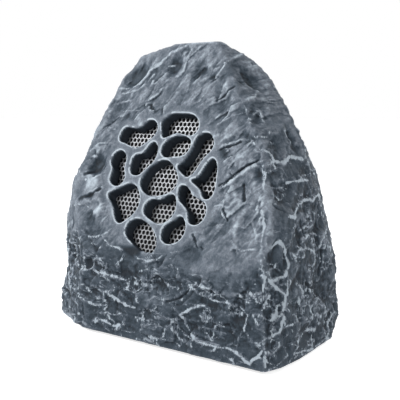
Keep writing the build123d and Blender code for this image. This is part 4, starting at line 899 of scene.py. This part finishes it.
def painted_rock():
    """Slate under greyer brushed paint, with pale ridges, veins and rims, and painted shade and highlights
    that follow the form: one ramp from dark to pale.
    """
    s = Shader("painted_rock")
    mottle = s.noise(34, 5, 0.65)
    grain = s.noise(620, 3, 0.75)
    speckle = s.noise(240, 6, 0.8)
    level = s.noise(110, 5, 0.75, 0.6, stretch=(0.35, 0.35, 1.3))
    upright = s.noise(110, 5, 0.75, 0.6, stretch=(1.3, 1.3, 0.35))
    calm = s.value("calm")
    paint_and_shade = s.value("paint_and_shade")
    paint_and_shade = s.varied(paint_and_shade, mottle, 0.16)
    paint_and_shade = s.varied(paint_and_shade, speckle, 0.60)
    paint_and_shade = s.varied(paint_and_shade, grain, 0.30)
    paint_and_shade = s.varied(paint_and_shade, upright, 0.22)
    dashes = s.math("MULTIPLY", s.step(level, 0.55, 0.63), s.step(mottle, 0.42, 0.56))
    paint_and_shade = s.math("MULTIPLY_ADD", s.math("MULTIPLY", dashes, s.step(calm, 0.7, 0.2)), 0.42, paint_and_shade)
    hairs = s.noise(330, 4, 0.7, 0.4, stretch=(1.4, 1.4, 0.28))
    ragged = s.varied(s.value("vein_gap"), speckle, 0.5)
    ragged = s.varied(ragged, hairs, 1.0)
    paint_and_shade = s.math("MAXIMUM", paint_and_shade, s.step(ragged, 0.26, 0.10, 0, 0.90))
    halo = s.math("MULTIPLY", s.step(s.value("vein_gap"), 0.80, 0.20), s.step(hairs, 0.47, 0.62, 0, 0.66))
    paint_and_shade = s.math("MAXIMUM", paint_and_shade, halo)
    edge = s.varied(s.value("rim_gap"), speckle, 0.16)
    paint_and_shade = s.math("MAXIMUM", paint_and_shade, s.step(edge, 0.22, 0.14, 0, 1.0))
    # painted shade: the cracks and the openings' walls are darkened almost to black
    paint_and_shade = s.math("MULTIPLY", paint_and_shade, s.math("MULTIPLY_ADD", s.value("painted_shade"), -0.95, 1.0))
    colour = s.ramp(
        paint_and_shade,
        (
            (0.00, (0.008, 0.012, 0.018)),
            (0.16, (0.021, 0.032, 0.044)),
            (0.32, (0.045, 0.062, 0.082)),
            (0.48, (0.096, 0.119, 0.148)),
            (0.64, (0.190, 0.218, 0.258)),
            (0.84, (0.370, 0.430, 0.490)),
            (1.00, (0.540, 0.610, 0.675)),
        ),
    )
    normal = s.bump(grain, 0.25, 0.0006)
    normal = s.bump(speckle, 0.5, 0.0014, normal)
    s.surface.inputs["Specular IOR Level"].default_value = 0.22
    return s.finish(colour, s.step(speckle, 0.3, 0.7, 0.55, 0.8), normal)


def plain_finish(name, colour, roughness, metallic=0.0, scale=300, contrast=0.25, bump=0.1, stretch=None):
    """A finish whose colour, gloss and surface all vary a little with one grain."""
    s = Shader(name)
    grain = s.noise(scale, 5, 0.65, stretch=stretch)
    blotch = s.noise(scale / 9, 3, 0.5)
    dark = tuple(c * (1 - contrast) for c in colour) + (1,)
    light = tuple(min(c * (1 + contrast), 1) for c in colour) + (1,)
    mixed = s.mix(s.step(grain, 0.3, 0.7), dark, light)
    mixed = s.mix(s.step(blotch, 0.4, 0.7, 0, 0.5), mixed, light)
    rough = s.step(grain, 0.3, 0.7, max(roughness - 0.08, 0.05), min(roughness + 0.08, 1))
    return s.finish(mixed, rough, s.bump(grain, bump, 0.0004), metallic)


def woven(name, colour, pitch, roughness=0.9):
    """A plain weave: two sets of threads that cross."""
    s = Shader(name)
    bands_per_unit = 3.2  # of this texture, for a scale of 1
    weave = None
    for axis in ("X", "Z"):
        thread = s.node("ShaderNodeTexWave", wave_type="BANDS", bands_direction=axis)
        s.link(s.coordinates, thread.inputs["Vector"])
        thread.inputs["Scale"].default_value = 1 / (pitch * MM) / bands_per_unit
        weave = thread.outputs["Fac"] if weave is None else s.math("MULTIPLY", weave, thread.outputs["Fac"])
    dark = tuple(c * 0.4 for c in colour) + (1,)
    fuzz = s.noise(900, 3)
    mixed = s.mix(weave, dark, colour + (1,))
    mixed = s.mix(s.step(fuzz, 0.4, 0.7, 0, 0.4), mixed, dark)
    s.surface.inputs["Specular IOR Level"].default_value = 0.1
    return s.finish(mixed, roughness, s.bump(weave, 0.5, 0.0003))


def clear_finish(name):
    """The clear light pipe, clouded a little inside."""
    s = Shader(name)
    haze = s.noise(700, 3)
    s.surface.inputs["Transmission Weight"].default_value = 0.9
    colour = s.mix(haze, (0.80, 0.86, 0.92, 1), (0.95, 0.98, 1.0, 1))
    return s.finish(colour, s.step(haze, 0.3, 0.7, 0.08, 0.2))


def grille_finish():
    """Satin grey paint on perforated steel, with darker dust in patches."""
    s = Shader("grille_steel")
    grain = s.noise(260, 4, 0.6)
    dust = s.noise(45, 3)
    mixed = s.mix(s.step(grain, 0.3, 0.7), (0.26, 0.27, 0.29, 1), (0.36, 0.37, 0.39, 1))
    mixed = s.mix(s.step(dust, 0.45, 0.7, 0, 0.5), mixed, (0.20, 0.21, 0.23, 1))
    return s.finish(mixed, s.step(grain, 0.3, 0.7, 0.38, 0.55), s.bump(grain, 0.1, 0.0003), 0.2)


# Finishes of one colour, by material slot. A stretch runs the grain along one axis.
plain_finishes = {
    "base_plastic": dict(colour=(0.030, 0.031, 0.034), roughness=0.62, scale=520, bump=0.35),
    "seal_foam": dict(colour=(0.022, 0.022, 0.023), roughness=0.95, scale=900, contrast=0.5, bump=0.6),
    "foot_rubber": dict(colour=(0.018, 0.018, 0.019), roughness=0.78, scale=400, bump=0.25),
    "screw_steel": dict(
        colour=(0.48, 0.48, 0.47), roughness=0.34, metallic=1.0, scale=900, stretch=(1, 1, 0.1)
    ),
    "baffle_board": dict(colour=(0.030, 0.027, 0.025), roughness=0.7, scale=350, contrast=0.35, bump=0.2),
    "basket_steel": dict(colour=(0.028, 0.029, 0.031), roughness=0.42, metallic=0.3, scale=600),
    "plated_steel": dict(
        colour=(0.55, 0.54, 0.50), roughness=0.30, metallic=1.0, scale=700, stretch=(1, 1, 0.15)
    ),
    "ferrite": dict(colour=(0.050, 0.050, 0.053), roughness=0.6, metallic=0.2, scale=380, contrast=0.4),
    "cone_paper": dict(colour=(0.030, 0.030, 0.032), roughness=0.85, scale=240, contrast=0.4, bump=0.5),
    "copper_winding": dict(
        colour=(0.55, 0.22, 0.09), roughness=0.32, metallic=1.0, scale=800, stretch=(0.1, 0.1, 1)
    ),
    "surround_rubber": dict(colour=(0.020, 0.020, 0.021), roughness=0.58, scale=300),
    "terminal_board": dict(colour=(0.26, 0.12, 0.05), roughness=0.5, scale=420, contrast=0.35),
    "lead_jacket": dict(colour=(0.022, 0.022, 0.024), roughness=0.5, scale=300),
    "panel_plastic": dict(colour=(0.026, 0.028, 0.030), roughness=0.55, scale=1100, contrast=0.3, bump=0.5),
    "button_rubber": dict(colour=(0.050, 0.052, 0.055), roughness=0.7, scale=900, bump=0.3),
    "switch_plastic": dict(colour=(0.035, 0.035, 0.036), roughness=0.35, scale=500),
    "circuit_board": dict(colour=(0.012, 0.105, 0.045), roughness=0.36, scale=160, contrast=0.4),
    "led_body": dict(colour=(0.80, 0.80, 0.72), roughness=0.4, scale=300, contrast=0.08),
    "ribbon_film": dict(
        colour=(0.66, 0.66, 0.62), roughness=0.4, scale=500, contrast=0.1, stretch=(1, 0.05, 0.05)
    ),
    "heatsink_aluminium": dict(colour=(0.050, 0.051, 0.055), roughness=0.4, metallic=0.8, scale=700),
    "capacitor_can": dict(colour=(0.040, 0.050, 0.120), roughness=0.35, scale=400),
    "connector_plastic": dict(colour=(0.78, 0.75, 0.66), roughness=0.45, scale=400, contrast=0.08),
    "cell_wrap": dict(colour=(0.030, 0.130, 0.400), roughness=0.32, scale=200, contrast=0.15),
}
finishes = {
    "rock": painted_rock(),
    "grille_steel": grille_finish(),
    "acoustic_cloth": woven("acoustic_cloth", (0.014, 0.014, 0.016), 0.7),
    "spider_cloth": woven("spider_cloth", (0.52, 0.38, 0.18), 0.8),
    "lens_clear": clear_finish("lens_clear"),
}
for name, settings in plain_finishes.items():
    finishes[name] = plain_finish(name, **settings)
slot_of = {part["node"]: part["material_slot"] for part in frame["record"]["subparts"]}


def wear_finish(piece, slot):
    piece.data.materials.clear()
    piece.data.materials.append(finishes[slot])


# ------------------------------------------------------------------ dress the nodes
rock = rock_piece()
wear_finish(rock, "rock")
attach(rock, "enclosure")
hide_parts("rock_shell")

grille = grille_piece()
wear_finish(grille, "grille_steel")
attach(grille, "enclosure")
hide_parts("speaker_grille")

for name, node in nodes.items():
    if name not in ("rock_shell", "speaker_grille"):
        wear_finish(node, slot_of[name])


# ------------------------------------------------------------------ studio
def seen_directly(tree):
    """1 for the camera and for what mirrors and glass show, 0 for light that falls on the object."""
    path = tree.nodes.new("ShaderNodeLightPath")
    seen = path.outputs["Is Camera Ray"]
    for ray in ("Is Glossy Ray", "Is Transmission Ray"):
        either = tree.nodes.new("ShaderNodeMath")
        either.operation = "MAXIMUM"
        tree.links.new(seen, either.inputs[0])
        tree.links.new(path.outputs[ray], either.inputs[1])
        seen = either.outputs[0]
    return seen


def floor_piece():
    """A white floor that glows where it is seen directly, and lights the object as plain white paint does."""
    material = bpy.data.materials.new("floor_white")
    material.use_nodes = True
    tree = material.node_tree
    surface = tree.nodes["Principled BSDF"]
    surface.inputs["Base Color"].default_value = (0.85, 0.85, 0.85, 1)
    surface.inputs["Roughness"].default_value = 0.9
    surface.inputs["Emission Color"].default_value = (1, 1, 1, 1)
    level = tree.nodes.new("ShaderNodeMath")
    level.operation = "MULTIPLY"
    level.inputs[1].default_value = floor_glow
    tree.links.new(seen_directly(tree), level.inputs[0])
    tree.links.new(level.outputs[0], surface.inputs["Emission Strength"])
    mesh = bpy.data.meshes.new("floor")
    corners = [(x * floor_reach, y * floor_reach, 0) for x, y in ((-1, -1), (1, -1), (1, 1), (-1, 1))]
    mesh.from_pydata(corners, [], [(0, 1, 2, 3)])
    mesh.materials.append(material)
    new_object("floor", mesh)


def surroundings():
    """White wherever they are seen directly, and dimmer as light on the object."""
    world = bpy.data.worlds.new("studio")
    bpy.context.scene.world = world
    world.use_nodes = True
    tree = world.node_tree
    background = tree.nodes["Background"]
    background.inputs["Color"].default_value = (1, 1, 1, 1)
    level = tree.nodes.new("ShaderNodeMapRange")
    level.inputs["To Min"].default_value = sky_light
    level.inputs["To Max"].default_value = 1.0
    tree.links.new(seen_directly(tree), level.inputs["Value"])
    tree.links.new(level.outputs["Result"], background.inputs["Strength"])


def lamp(name, place, size, power):
    """A square lamp that looks at the object's middle."""
    light = bpy.data.lights.new(name, "AREA")
    light.size = size
    light.energy = power
    holder = new_object(name, light)
    holder.location = place
    holder.rotation_euler = (lamp_target - Vector(place)).to_track_quat("-Z", "Y").to_euler()


def camera():
    holder = new_object("camera", bpy.data.cameras.new("camera"))
    holder.location = camera_place
    holder.rotation_euler = (pi / 2 - camera_pitch, 0, camera_yaw)
    holder.data.lens = camera_lens
    holder.data.sensor_width = sensor_width
    bpy.context.scene.camera = holder


floor_piece()
surroundings()
lamp("key", (-0.95, -1.05, 1.05), 0.4, 24)
lamp("fill", (1.5, -0.7, 0.7), 0.9, 9)
lamp("back_light", (0.3, 1.4, 1.1), 1.2, 16)
camera()
bpy.context.scene.view_settings.view_transform = "Standard"
